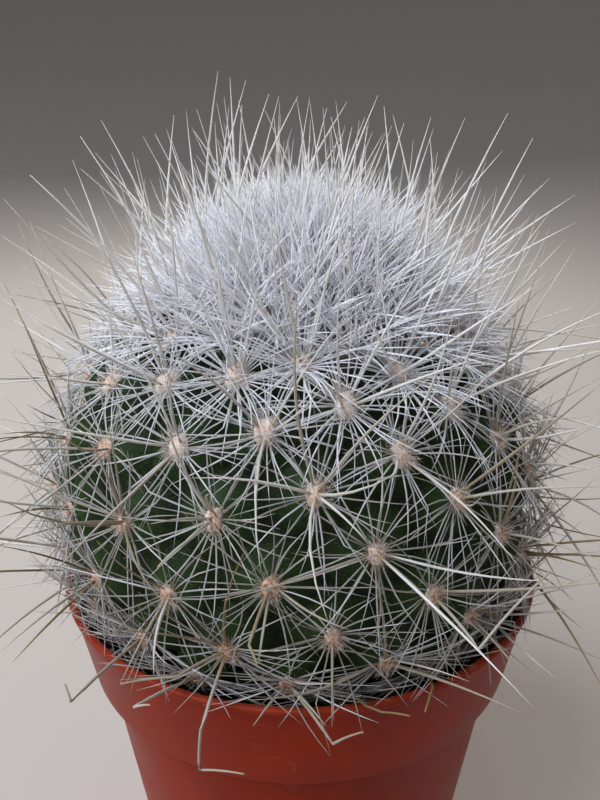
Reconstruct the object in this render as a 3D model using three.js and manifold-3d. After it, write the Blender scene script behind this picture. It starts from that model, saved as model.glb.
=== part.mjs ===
// A round white-spined cactus growing in a small plastic nursery pot.
// Millimetres, +Z up. The origin is the middle of the pot's underside, on the surface it stands on.
// -Y is the front. The plant leans a few degrees to the front and to the right, as it grew.
import * as THREE from "three";
import { ConvexGeometry } from "three/addons/geometries/ConvexGeometry.js";
import { mergeVertices } from "three/addons/utils/BufferGeometryUtils.js";
import Module from "manifold-3d";

const { degToRad, lerp, smoothstep } = THREE.MathUtils;
const FULL_TURN = 2 * Math.PI;
const GAP = 0.3; // left between pieces that touch

// The pot: a bead round the rim, a collar below it, and a lower wall set in from the collar.
const POT_HEIGHT = 58;
const RIM_RADIUS = 32.5;
const BEAD_HEIGHT = 1.1;
const BEAD_OUT = 0.5;
const COLLAR_HEIGHT = 13;
const COLLAR_FOOT_RADIUS = 29.8;
const SHOULDER_RADIUS = 28;
const SHOULDER_DROP = 0.8;
const FOOT_RADIUS = 21.8;
const WALL = 0.9;
const EASE = 0.3; // flat that eases an edge
const FLOOR_TOP = 2.4;
const GUTTER_HEIGHT = 1.4; // the underside is raised by this where the drain holes are
const GUTTER_INNER_RADIUS = 11;
const GUTTER_OUTER_RADIUS = 19.4;
const DRAIN_HOLES = 8;
const DRAIN_RADIUS = 2.3;
const DRAIN_SIDES = 10;
const POT_SIDES = 48;

// The soil, a little below the rim and crumbly on top.
const SOIL_TOP = 52;
const SOIL_MOUND = 0.4; // higher at the plant than at the pot's wall
const CRUMB_HEIGHT = 0.35;
const SEAT_ROOM = 1; // between the smooth body and the soil, for the last tubercles
const SOIL_SIDES = 48;
const SOIL_RINGS = 4;

// The plant's body, a little flatter than a ball, and its root.
const BODY_RADIUS = 29.5;
const BODY_HALF_HEIGHT = 26.9;
const BODY_CENTRE = new THREE.Vector3(-0.6, -0.9, 70.4);
const LEAN_TO_FRONT = degToRad(4);
const LEAN_TO_RIGHT = degToRad(3.8);
const ROOT_RADIUS = 7;
const ROOT_TIP_RADIUS = 1.5;
const ROOT_TOP = -20;
const ROOT_TIP = -47;
const ROOT_SIDES = 12;

// Areoles are numbered from the growing tip. Each is a golden angle on from the last, and the young
// ones at the tip crowd together, so that they stand in 8 and 13 spiral rows.
const GOLDEN_ANGLE = degToRad(137.508);
const FIRST_AZIMUTH = degToRad(8.8);
const WIDEST_POLAR = degToRad(142.2);
const GROWTH_RATE = 0.0259;
const HALFWAY_AREOLE = 120.5;
const FIRST_TUBERCLE = 40; // the younger ones are too small to stand out
const LAST_SPINY_AREOLE = 179;
const LAST_TUBERCLE = 186;
const TUBERCLE_HEIGHT = 1.7;
const TUBERCLE_FOOT = 0.55; // its radius, as a part of the spacing
const FULL_SPACING = 0.26; // between old areoles, as an angle at the body's middle
const BURIED_POLAR = degToRad(150);
const BURIED_POINTS = 9;

// The spines: radials spread low over the skin, centrals stand out from it, and the young ones in the
// crown stand up in a tuft.
const RADIAL = { length: 9.5, radius: 0.22, raise: 18, raiseSpread: 13, fromTip: 1.3, firstDraw: 20 };
const CENTRAL = { length: 20, radius: 0.34, raise: 54, raiseSpread: 15, fromTip: 0.55, firstDraw: 10 };
const CROWN = { length: 19.5, radius: 0.22, raise: 80, raiseSpread: 9, fromTip: 1, firstDraw: 0 };
const CROWN_COUNT = 3; // on each young areole
const CENTRAL_EVERY = 3; // facets round a tubercle from one central to the next
const LENGTH_SPREAD = 0.17;
const TURN_SPREAD = degToRad(24);
const UPWARD_PULL = 0.35; // how far the young spines turn up towards the light
const YOUNG_POLAR = degToRad(35);
const OLD_POLAR = degToRad(78);
const SPINE_SIDES = 3;
const ROOT_DEPTH = 0.25; // of the point that a spine's length is counted from
const SPINE_SUNK = 1; // and how far its root goes on below that
const TRIES = 60; // for a way out between the spines that already stand
const CLEARANCE = 0.05;
const LIFT_STEP = degToRad(7);
const SPOTS = 12; // along a spine, where it is kept clear of the pot

const wasm = await Module();
wasm.setup();

// A geometry with nothing but its places, each vertex once.
function welded(geometry) {
  geometry.deleteAttribute("normal");
  geometry.deleteAttribute("uv");
  return mergeVertices(geometry, 1e-4);
}

function toSolid(geometry) {
  const { attributes, index } = welded(geometry);
  const mesh = new wasm.Mesh({
    numProp: 3,
    vertProperties: attributes.position.array,
    triVerts: new Uint32Array(index.array),
  });
  return new wasm.Manifold(mesh);
}

function toGeometry(solid) {
  const { vertProperties, triVerts } = solid.getMesh();
  const shared = new THREE.BufferGeometry();
  shared.setAttribute("position", new THREE.BufferAttribute(vertProperties, 3));
  shared.setIndex(new THREE.BufferAttribute(triVerts, 1));
  const geometry = shared.toNonIndexed();
  geometry.computeVertexNormals();
  return geometry;
}

// A profile of [radius, height] pairs turned round the Z axis.
function turned(profile, sides) {
  const points = profile.map(([radius, height]) => new THREE.Vector2(radius, height));
  return new THREE.LatheGeometry(points, sides).rotateX(Math.PI / 2);
}

// A repeatable number from 0 to 1 for an areole and a draw, by the usual hash from a sine.
function chance(areole, draw) {
  const mixed = 43758.5453 * Math.sin(12.9898 * areole + 78.233 * draw);
  return mixed - Math.floor(mixed);
}

const COLLAR_FOOT = POT_HEIGHT - COLLAR_HEIGHT;
const SHOULDER = COLLAR_FOOT - SHOULDER_DROP;
const NECK_RADIUS = RIM_RADIUS - BEAD_OUT;

// The radius of the pot's outer wall at a height.
function potRadius(height) {
  return height < SHOULDER
    ? lerp(FOOT_RADIUS, SHOULDER_RADIUS, height / SHOULDER)
    : lerp(COLLAR_FOOT_RADIUS, NECK_RADIUS, (height - COLLAR_FOOT) / COLLAR_HEIGHT);
}

function makePot() {
  const bead = POT_HEIGHT - BEAD_HEIGHT;
  const outside = [
    [0, 0],
    [GUTTER_INNER_RADIUS, 0],
    [GUTTER_INNER_RADIUS + EASE, GUTTER_HEIGHT],
    [GUTTER_OUTER_RADIUS - EASE, GUTTER_HEIGHT],
    [GUTTER_OUTER_RADIUS, 0],
    [FOOT_RADIUS, 0],
    [SHOULDER_RADIUS, SHOULDER],
    [COLLAR_FOOT_RADIUS, COLLAR_FOOT],
    [potRadius(bead), bead],
    [RIM_RADIUS, bead + EASE],
    [RIM_RADIUS, POT_HEIGHT - EASE],
    [RIM_RADIUS - EASE, POT_HEIGHT],
  ];
  const inside = [
    [NECK_RADIUS - WALL + EASE, POT_HEIGHT],
    [NECK_RADIUS - WALL, POT_HEIGHT - EASE],
    [COLLAR_FOOT_RADIUS - WALL, COLLAR_FOOT],
    [SHOULDER_RADIUS - WALL, SHOULDER],
    [potRadius(FLOOR_TOP) - WALL, FLOOR_TOP],
    [0, FLOOR_TOP],
  ];
  const drainRing = (GUTTER_INNER_RADIUS + GUTTER_OUTER_RADIUS) / 2;
  const drains = Array.from({ length: DRAIN_HOLES }, (_, i) => {
    const drain = new THREE.CylinderGeometry(DRAIN_RADIUS, DRAIN_RADIUS, 2 * FLOOR_TOP, DRAIN_SIDES);
    drain.rotateX(Math.PI / 2).translate(drainRing, 0, FLOOR_TOP);
    return toSolid(drain.rotateZ(((i + 0.5) * FULL_TURN) / DRAIN_HOLES));
  });
  const shell = toSolid(turned([...outside, ...inside], POT_SIDES));
  return toGeometry(shell.subtract(wasm.Manifold.union(drains)));
}

// The plant's frame: its body's middle, leaning to the front and to the right.
const plant = new THREE.Group();
plant.position.copy(BODY_CENTRE);
plant.rotation.set(LEAN_TO_FRONT, LEAN_TO_RIGHT, 0, "YXZ");
plant.updateMatrix();

function makeRoot(allowance) {
  const [top, tip] = [ROOT_RADIUS + allowance, ROOT_TIP_RADIUS + allowance];
  const length = ROOT_TOP - ROOT_TIP + allowance;
  const root = new THREE.CylinderGeometry(top, tip, length, ROOT_SIDES).rotateX(Math.PI / 2);
  return toSolid(root.translate(0, 0, ROOT_TOP - length / 2));
}

// The body without its tubercles, and the root, both grown by an allowance.
function makePlainBody(allowance) {
  const body = new THREE.SphereGeometry(1, 48, 32).rotateX(Math.PI / 2);
  body.scale(BODY_RADIUS + allowance, BODY_RADIUS + allowance, BODY_HALF_HEIGHT + allowance);
  return toSolid(body).add(makeRoot(allowance));
}

// How high the crumbs stand at a place on the soil.
function crumb(x, y) {
  const ripple = Math.sin(2.1 * x + 1.3 * Math.sin(1.7 * y));
  return CRUMB_HEIGHT * ripple * Math.cos(1.9 * y + Math.sin(2.3 * x));
}

function makeSoil() {
  const inWall = (radius) => radius - WALL - GAP;
  const edge = inWall(potRadius(SOIL_TOP));
  const middle = BODY_RADIUS / 2;
  const surface = Array.from({ length: SOIL_RINGS + 1 }, (_, i) => {
    const inwards = i / SOIL_RINGS;
    return [lerp(edge, middle, inwards), SOIL_TOP + SOIL_MOUND * inwards];
  });
  const plug = turned(
    [
      [0, FLOOR_TOP + GAP],
      [inWall(potRadius(FLOOR_TOP)), FLOOR_TOP + GAP],
      [inWall(SHOULDER_RADIUS), SHOULDER],
      [inWall(COLLAR_FOOT_RADIUS), COLLAR_FOOT],
      ...surface,
      [0, SOIL_TOP + SOIL_MOUND],
    ],
    SOIL_SIDES,
  );
  const place = plug.attributes.position;
  for (let i = 0; i < place.count; i++) {
    const [x, y, z] = [place.getX(i), place.getY(i), place.getZ(i)];
    const out = Math.hypot(x, y);
    if (z >= SOIL_TOP && out > middle - GAP && out < edge - GAP) {
      place.setZ(i, z + crumb(x, y));
    }
  }
  const seat = makePlainBody(SEAT_ROOM).transform(plant.matrix.elements);
  return toGeometry(toSolid(plug).subtract(seat));
}

// The unit vector at a polar angle from the growing tip and an azimuth from the front.
function towards(polar, azimuth) {
  const out = Math.sin(polar);
  return new THREE.Vector3(out * Math.sin(azimuth), -out * Math.cos(azimuth), Math.cos(polar));
}

// The skin in a direction: its place at a height above the valleys, and the way it faces.
function skin(direction, height) {
  const semiAxes = new THREE.Vector3(BODY_RADIUS, BODY_RADIUS, BODY_HALF_HEIGHT);
  const facing = direction.clone().divide(semiAxes).normalize();
  const place = direction.clone().multiply(semiAxes).addScaledVector(facing, height);
  return { place, facing };
}

// Areole n: where it sits, its room, and its directions along the skin. Its slopes are found later.
function makeAreole(n) {
  const polar = WIDEST_POLAR / (1 + Math.exp(-GROWTH_RATE * (n - HALFWAY_AREOLE)));
  const direction = towards(polar, FIRST_AZIMUTH - GOLDEN_ANGLE * n);
  const step = GROWTH_RATE * polar * (1 - polar / WIDEST_POLAR);
  const spacing = Math.sqrt((4 * Math.PI * Math.sin(polar) * step) / Math.sqrt(3));
  const size = Math.min(1, spacing / FULL_SPACING);
  const { place, facing } = skin(direction, TUBERCLE_HEIGHT * size);
  const rise = new THREE.Vector3(0, 0, 1).projectOnPlane(facing).normalize();
  const aside = new THREE.Vector3().crossVectors(rise, facing);
  return { n, polar, direction, spacing, size, place, facing, rise, aside, slopes: [] };
}

const areoles = Array.from({ length: LAST_TUBERCLE + 1 }, (_, n) => makeAreole(n));
const tubercles = areoles.slice(FIRST_TUBERCLE);

// How high the skin stands: a low cone on each areole's room, its foot in the valleys.
function tubercleHeight(direction) {
  const reaches = tubercles.map((one) => direction.angleTo(one.direction) / one.spacing);
  const nearest = Math.min(...reaches);
  const { size } = tubercles[reaches.indexOf(nearest)];
  return TUBERCLE_HEIGHT * size * Math.max(0, 1 - nearest / TUBERCLE_FOOT);
}

// A net of triangles over a unit ball, with an areole at each knot.
function makeNet() {
  const buried = Array.from({ length: BURIED_POINTS }, (_, i) => {
    return towards(BURIED_POLAR, (i * FULL_TURN) / BURIED_POINTS);
  });
  const ends = [towards(0, 0), towards(Math.PI, 0)];
  return new ConvexGeometry([...tubercles.map((one) => one.direction), ...buried, ...ends]);
}

// Tells each tubercle which way the facets round it slope, as turns from its rise.
function findSlopes(net) {
  const knot = (i) => new THREE.Vector3().fromBufferAttribute(net.attributes.position, i);
  for (let first = 0; first < net.attributes.position.count; first += 3) {
    const middle = knot(first).add(knot(first + 1)).add(knot(first + 2)).divideScalar(3);
    for (const i of [first, first + 1, first + 2]) {
      const owner = tubercles.find((one) => one.direction.distanceTo(knot(i)) < 1e-3);
      const way = middle.clone().sub(knot(i));
      owner?.slopes.push(Math.atan2(way.dot(owner.aside), way.dot(owner.rise)));
    }
  }
  tubercles.forEach((one) => one.slopes.sort((a, b) => a - b));
}

// The net's facets are split in four, and the tubercles are raised, with valleys between them.
function makeBody(net) {
  const { attributes, index } = welded(net);
  const facets = welded(new THREE.PolyhedronGeometry(attributes.position.array, index.array, 1, 1));
  const place = facets.attributes.position;
  for (let i = 0; i < place.count; i++) {
    const direction = new THREE.Vector3().fromBufferAttribute(place, i).normalize();
    const raised = skin(direction, tubercleHeight(direction)).place;
    place.setXYZ(i, raised.x, raised.y, raised.z);
  }
  return toSolid(facets);
}

// Whether a place is clear of the pot's rim and wall and of the soil, by some room.
function isClearOfPot(place, room) {
  const { x, y, z } = place.clone().applyMatrix4(plant.matrix);
  const out = Math.hypot(x, y);
  const isOutside = z > POT_HEIGHT + room || out > RIM_RADIUS + room;
  const isOverSoil = z > SOIL_TOP + SOIL_MOUND + CRUMB_HEIGHT + room;
  return isOutside || (isOverSoil && out < potRadius(z) - WALL - room);
}

// A spine's middle line, lifted step by step until it passes clear of the pot.
function liftedLine(from, way, length, radius) {
  const hinge = new THREE.Vector3().crossVectors(way, new THREE.Vector3(0, 0, 1)).normalize();
  const line = new THREE.Line3(from);
  const spots = Array.from({ length: SPOTS }, (_, i) => (i + 1) / SPOTS);
  const isClear = (spot) => isClearOfPot(line.at(spot, new THREE.Vector3()), radius + 2 * GAP);
  for (let lift = 0; lift < Math.PI / 2; lift += LIFT_STEP) {
    line.end = way.clone().applyAxisAngle(hinge, lift).multiplyScalar(length).add(from);
    if (spots.every(isClear)) {
      return line;
    }
  }
  return null;
}

// Whether two tapered spines keep apart.
function areApart(one, other) {
  const [near, far] = [new THREE.Vector3(), new THREE.Vector3()];
  const apart = Math.sqrt(one.line.distanceSqToLine3(other.line, near, far));
  const thickness = ({ line, radius }, spot) => radius * (1 - spot.distanceTo(line.start) / line.distance());
  return apart > thickness(one, near) + thickness(other, far) + CLEARANCE;
}

// Adds an areole's spine on the side that a turn gives, if there is a way out between those that stand.
function growSpine(one, number, turn, kind, standing) {
  const { radius } = kind;
  const youth = 1 - smoothstep(one.polar, YOUNG_POLAR, OLD_POLAR);
  const sideways = (angle) => {
    return one.rise.clone().multiplyScalar(Math.cos(angle)).addScaledVector(one.aside, Math.sin(angle));
  };
  const fromTip = kind.fromTip * one.size;
  const fall = TUBERCLE_HEIGHT / (TUBERCLE_FOOT * FULL_SPACING * BODY_RADIUS);
  const from = one.place.clone().addScaledVector(sideways(turn), fromTip);
  from.addScaledVector(one.facing, -fall * fromTip - ROOT_DEPTH);
  for (let attempt = 0; attempt < TRIES; attempt++) {
    const draw = kind.firstDraw + number + 0.37 * attempt;
    const spread = (use) => 2 * chance(one.n, draw + 100 * use) - 1;
    const raise = degToRad(kind.raise + kind.raiseSpread * spread(1));
    const way = sideways(turn + TURN_SPREAD * spread(2)).multiplyScalar(Math.cos(raise));
    way.addScaledVector(one.facing, Math.sin(raise)).z += UPWARD_PULL * youth;
    const length = kind.length * (1 + LENGTH_SPREAD * spread(3));
    const line = liftedLine(from, way.normalize(), length, radius);
    if (line && standing.every((other) => areApart({ line, radius }, other))) {
      standing.push({ line, radius });
      return;
    }
  }
}

function growSpines() {
  const standing = [];
  const crown = areoles.slice(0, FIRST_TUBERCLE);
  const grown = areoles.slice(FIRST_TUBERCLE, LAST_SPINY_AREOLE + 1);
  for (const one of crown) {
    for (let i = 0; i < CROWN_COUNT; i++) {
      growSpine(one, i, ((i + chance(one.n, 0)) * FULL_TURN) / CROWN_COUNT, CROWN, standing);
    }
  }
  for (const one of grown) {
    for (let i = 0; i < one.slopes.length; i += CENTRAL_EVERY) {
      growSpine(one, i, one.slopes[i], CENTRAL, standing);
    }
  }
  for (const one of grown) {
    one.slopes.forEach((turn, i) => growSpine(one, i, turn, RADIAL, standing));
  }
  return standing;
}

function spineSolid({ line, radius }) {
  const length = line.distance();
  const cone = new THREE.ConeGeometry(radius, length + SPINE_SUNK, SPINE_SIDES);
  cone.translate(0, (length - SPINE_SUNK) / 2, 0);
  const way = line.delta(new THREE.Vector3()).divideScalar(length);
  cone.applyQuaternion(new THREE.Quaternion().setFromUnitVectors(new THREE.Vector3(0, 1, 0), way));
  return toSolid(cone.translate(line.start.x, line.start.y, line.start.z));
}

function makeCactus() {
  const net = makeNet();
  findSlopes(net);
  const spines = growSpines();
  return toGeometry(wasm.Manifold.union([makeBody(net), makeRoot(0), ...spines.map(spineSolid)]));
}

function named(name, geometry, look) {
  const mesh = new THREE.Mesh(geometry, new THREE.MeshStandardMaterial({ metalness: 0, ...look }));
  mesh.name = name;
  return mesh;
}

const pottedCactus = new THREE.Group();
pottedCactus.add(named("pot", makePot(), { color: "#b2472c", roughness: 0.45 }));
pottedCactus.add(named("soil", makeSoil(), { color: "#2a1e16", roughness: 0.95 }));
plant.add(named("cactus", makeCactus(), { color: "#2f5a2e", roughness: 0.6 }));
pottedCactus.add(plant);

export default pottedCactus;
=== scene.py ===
# %% [markdown]
# # A round cactus with white spines, in a plastic nursery pot
# The plant is a ball of green tissue, about 6 cm across, with low knobs called tubercles in spiral
# rows. Each tubercle carries an areole, a woolly cushion that all of its spines grow from: about
# thirty fine white radials that lie low over the skin, and a few longer straw-coloured centrals that
# stand out. Round the growing tip the young spines still stand up, and crowd into a white crown. The
# sizes come from the imported solids, so the first cell loads them and keeps their box.

# %% Load the frame
import math
import random

import bmesh
import bpy
import numpy as np
from mathutils import Matrix, Vector, noise


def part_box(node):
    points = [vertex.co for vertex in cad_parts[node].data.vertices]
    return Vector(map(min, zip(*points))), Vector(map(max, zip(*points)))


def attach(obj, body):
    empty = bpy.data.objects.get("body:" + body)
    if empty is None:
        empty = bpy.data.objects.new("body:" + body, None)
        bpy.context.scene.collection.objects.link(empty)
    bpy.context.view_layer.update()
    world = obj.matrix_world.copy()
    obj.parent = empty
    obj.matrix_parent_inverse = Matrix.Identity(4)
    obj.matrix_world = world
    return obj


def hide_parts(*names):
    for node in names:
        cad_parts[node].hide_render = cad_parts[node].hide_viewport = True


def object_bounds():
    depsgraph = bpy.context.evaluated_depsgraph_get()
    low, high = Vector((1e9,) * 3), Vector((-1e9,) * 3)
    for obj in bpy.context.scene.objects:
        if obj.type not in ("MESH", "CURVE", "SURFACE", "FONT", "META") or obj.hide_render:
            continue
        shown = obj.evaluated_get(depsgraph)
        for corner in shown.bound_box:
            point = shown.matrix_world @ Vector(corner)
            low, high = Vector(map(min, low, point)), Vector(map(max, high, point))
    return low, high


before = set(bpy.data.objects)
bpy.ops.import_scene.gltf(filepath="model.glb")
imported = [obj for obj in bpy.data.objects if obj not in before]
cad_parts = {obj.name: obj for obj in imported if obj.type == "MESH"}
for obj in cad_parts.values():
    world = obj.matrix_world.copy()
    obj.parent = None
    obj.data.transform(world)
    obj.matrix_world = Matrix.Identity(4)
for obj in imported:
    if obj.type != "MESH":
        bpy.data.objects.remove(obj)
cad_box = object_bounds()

MM = 0.001
UP = Vector((0, 0, 1))
_, pot_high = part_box("pot")
soil_low, soil_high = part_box("soil")
cad_sides = [round(side / MM, 1) for side in cad_box[1] - cad_box[0]]
print("solids", sorted(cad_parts), "box in mm", cad_sides)

# %% [markdown]
# ## Camera
# The photograph was taken from very close, about 12 cm from the middle of the pot's rim, so near things
# look much larger than far ones. A long lens from further off would be easier to light, but it would
# flatten the ball. So the camera stands where the real one was and looks 21 degrees down, with the focal
# length that the rim's shape in the photograph gives: 800 pixels in a frame 800 pixels tall. Two small
# functions turn a pixel into a place and back, for the spines that follow the photograph one by one.

# %% Camera
PIXELS_WIDE, PIXELS_TALL, FOCAL_PIXELS = 600, 800, 800
CAMERA_AT = Vector((0, -99.6, 119.3)) * MM
LOOKS_DOWN = math.radians(21.1)
SENSOR_WIDE = 36  # mm, the default

camera_data = bpy.data.cameras.new("camera")
camera_data.sensor_width = SENSOR_WIDE
camera_data.lens = camera_data.sensor_width * FOCAL_PIXELS / PIXELS_TALL
camera_data.clip_start = 1 * MM
camera = bpy.data.objects.new("camera", camera_data)
camera.location = CAMERA_AT
camera.rotation_euler = (math.pi / 2 - LOOKS_DOWN, 0, 0)
bpy.context.scene.collection.objects.link(camera)
bpy.context.scene.camera = camera
print("lens", camera_data.lens, "mm")


def seen_at(x, y, depth):
    """The point that is seen at a pixel, on the upright plane whose Y is depth, in millimetres."""
    sideways = (x - PIXELS_WIDE / 2) / FOCAL_PIXELS
    upwards = (PIXELS_TALL / 2 - y) / FOCAL_PIXELS
    ray = Vector((sideways, upwards, -1))
    ray.rotate(camera.rotation_euler)
    return CAMERA_AT + ray * ((depth * MM - CAMERA_AT.y) / ray.y)


def pixel_of(place):
    """The pixel that a point is seen at."""
    ray = place - CAMERA_AT
    ray.rotate(camera.rotation_euler.to_matrix().transposed())
    sideways, upwards = -ray.x / ray.z, -ray.y / ray.z
    return Vector((PIXELS_WIDE / 2 + FOCAL_PIXELS * sideways, PIXELS_TALL / 2 - FOCAL_PIXELS * upwards))


# %% [markdown]
# ## Materials by script
# A material in Blender is a tree of nodes. Wiring one by script takes many lines for each node, so one
# function adds a node, sets its values and links it, and two more start and end a tree. Colours are
# written as the hex values of a paint program, which shaders need as linear numbers.

# %% Materials by script
def linear(hex_colour):
    """An sRGB hex colour as the linear RGBA that shader sockets take."""
    parts = [int(hex_colour[i : i + 2], 16) / 255 for i in (1, 3, 5)]
    return [c / 12.92 if c <= 0.04045 else ((c + 0.055) / 1.055) ** 2.4 for c in parts] + [1]


def add_node(tree, kind, inputs=None, **settings):
    """Adds a shader node. A value for an input is a number, a colour or the socket that feeds it."""
    node = tree.nodes.new(kind)
    for name, value in settings.items():
        setattr(node, name, value)
    for name, value in (inputs or {}).items():
        if isinstance(value, bpy.types.NodeSocket):
            tree.links.new(value, node.inputs[name])
        else:
            node.inputs[name].default_value = value
    return node


def new_material(name):
    material = bpy.data.materials.new(name)
    material.use_nodes = True
    material.node_tree.nodes.clear()
    return material, material.node_tree


def finish_material(tree, shader):
    add_node(tree, "ShaderNodeOutputMaterial", {"Surface": shader.outputs[0]})


print("a middle grey is", round(linear("#808080")[0], 3), "as a linear number")

# %% [markdown]
# ## Floor
# White spines vanish in front of a white background. A real studio answers with distance: the floor is
# a wide round sheet of pale paper that curves up far away on all sides, so it is bright by the pot, falls
# off to a soft grey behind the spines, and has no horizon line from any side. Half of its outline is
# drawn from the middle outwards, and spun in full.

# %% Floor
PAPER_COLOUR = "#b3aba4"
PAPER_FLAT, PAPER_RADIUS, PAPER_TALL = 0.45, 1.7, 1.5  # metres
BEND_STEPS, ROUND_STEPS = 24, 96


def make_paper():
    bm = bmesh.new()
    centre = bm.verts.new((0, 0, 0))
    flat_edge = bm.verts.new((PAPER_FLAT, 0, 0))
    bend = PAPER_RADIUS - PAPER_FLAT
    outline = [centre, flat_edge]
    for step in range(1, BEND_STEPS + 1):
        angle = math.radians(90) * step / BEND_STEPS
        outline.append(bm.verts.new((PAPER_FLAT + bend * math.sin(angle), 0, bend * (1 - math.cos(angle)))))
    outline.append(bm.verts.new((PAPER_RADIUS, 0, PAPER_TALL)))
    edges = [bm.edges.new(pair) for pair in zip(outline, outline[1:])]
    bmesh.ops.spin(
        bm,
        geom=outline + edges,
        axis=(0, 0, 1),
        cent=(0, 0, 0),
        angle=2 * math.pi,
        steps=ROUND_STEPS,
        use_merge=True,
    )
    bmesh.ops.remove_doubles(bm, verts=bm.verts, dist=MM)
    bmesh.ops.recalc_face_normals(bm, faces=bm.faces)
    bmesh.ops.reverse_faces(bm, faces=bm.faces)
    mesh = bpy.data.meshes.new("paper")
    bm.to_mesh(mesh)
    bm.free()
    mesh.shade_smooth()
    paper = bpy.data.objects.new("paper", mesh)
    bpy.context.scene.collection.objects.link(paper)
    material, tree = new_material("matt paper")
    matt = add_node(tree, "ShaderNodeBsdfPrincipled", {"Base Color": linear(PAPER_COLOUR), "Roughness": 0.9})
    finish_material(tree, matt)
    mesh.materials.append(material)
    print("paper faces", len(mesh.polygons))


make_paper()

# %% [markdown]
# ## Light
# The photograph has the soft, slightly cool light of an open sky. A wide panel overhead to the left stands
# for it, so the crown is bright and the sides deepen downwards. A weaker one, low in front on the left,
# lights the pot and the lower spines, one behind makes the crown's edge glow, and a faint warm one on the
# right keeps that side from going black. Panels that are wide for their distance give soft shadows.

# %% Light
SKY_COLOUR = (0.9, 0.96, 1.07)
LIGHTS = {  # places and sizes in metres, power in watts
    "overhead": {"place": (-0.32, -0.2, 0.58), "size": 0.42, "power": 4.3, "colour": SKY_COLOUR},
    "front": {"place": (-0.4, -0.62, 0.32), "size": 0.4, "power": 0.85, "colour": SKY_COLOUR},
    "right": {"place": (0.55, -0.1, 0.3), "size": 0.4, "power": 0.3, "colour": (1.0, 0.95, 0.9)},
    "behind": {"place": (-0.05, 0.44, 0.42), "size": 0.35, "power": 2.0, "colour": (1.0, 0.99, 0.97)},
}
ROOM_COLOUR, ROOM_STRENGTH = (0.9, 0.93, 1.0, 1), 0.16


def make_light(name, place, size, power, colour):
    data = bpy.data.lights.new(name, "AREA")
    data.shape = "DISK"
    data.size = size
    data.energy = power
    data.color = colour
    light = bpy.data.objects.new(name, data)
    light.location = place
    aim = Vector((0, 0, pot_high.z)) - light.location
    light.rotation_euler = aim.to_track_quat("-Z", "Y").to_euler()
    bpy.context.scene.collection.objects.link(light)


for name, facts in LIGHTS.items():
    make_light(name, **facts)
world = bpy.data.worlds.new("soft room")
world.use_nodes = True
background = world.node_tree.nodes["Background"]
background.inputs["Color"].default_value = ROOM_COLOUR
background.inputs["Strength"].default_value = ROOM_STRENGTH
bpy.context.scene.world = world
bpy.context.scene.view_settings.view_transform = "Standard"
print("lights", len(LIGHTS))

# %% [markdown]
# ## Finishing a piece
# Every piece ends the same way: its bmesh becomes an object at the origin with its place in the mesh, it
# gets its material, it is parented to the empty of the body it rides on, and the solid it stands for is
# hidden. Creases sharper than a limit stay sharp and the rest is shaded smooth.

# %% Finishing a piece
ALL_SMOOTH = math.pi


def finish_piece(bm, name, material, node, crease):
    mesh = bpy.data.meshes.new(name)
    bm.to_mesh(mesh)
    bm.free()
    mesh.shade_smooth()
    mesh.set_sharp_from_angle(angle=crease)
    mesh.materials.append(material)
    piece = bpy.data.objects.new(name, mesh)
    bpy.context.scene.collection.objects.link(piece)
    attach(piece, "root")
    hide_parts(node)
    triangles = sum(len(polygon.vertices) - 2 for polygon in mesh.polygons)
    print(name, "triangles", triangles)
    return piece


# %% [markdown]
# ## Marks on the plastic
# A nursery pot is handled, wetted and stacked, so its plastic carries dust specks, hairline scratches and
# pale scuffs. They could be painted on a picture, but a pattern by formula has no seam and no limit of
# sharpness. The specks are Voronoi cells cut down to their centres, the scratches are a noise stretched
# round the pot, and the scuffs are the peaks of a rough noise. All are coarser than life, so that they show.

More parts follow.
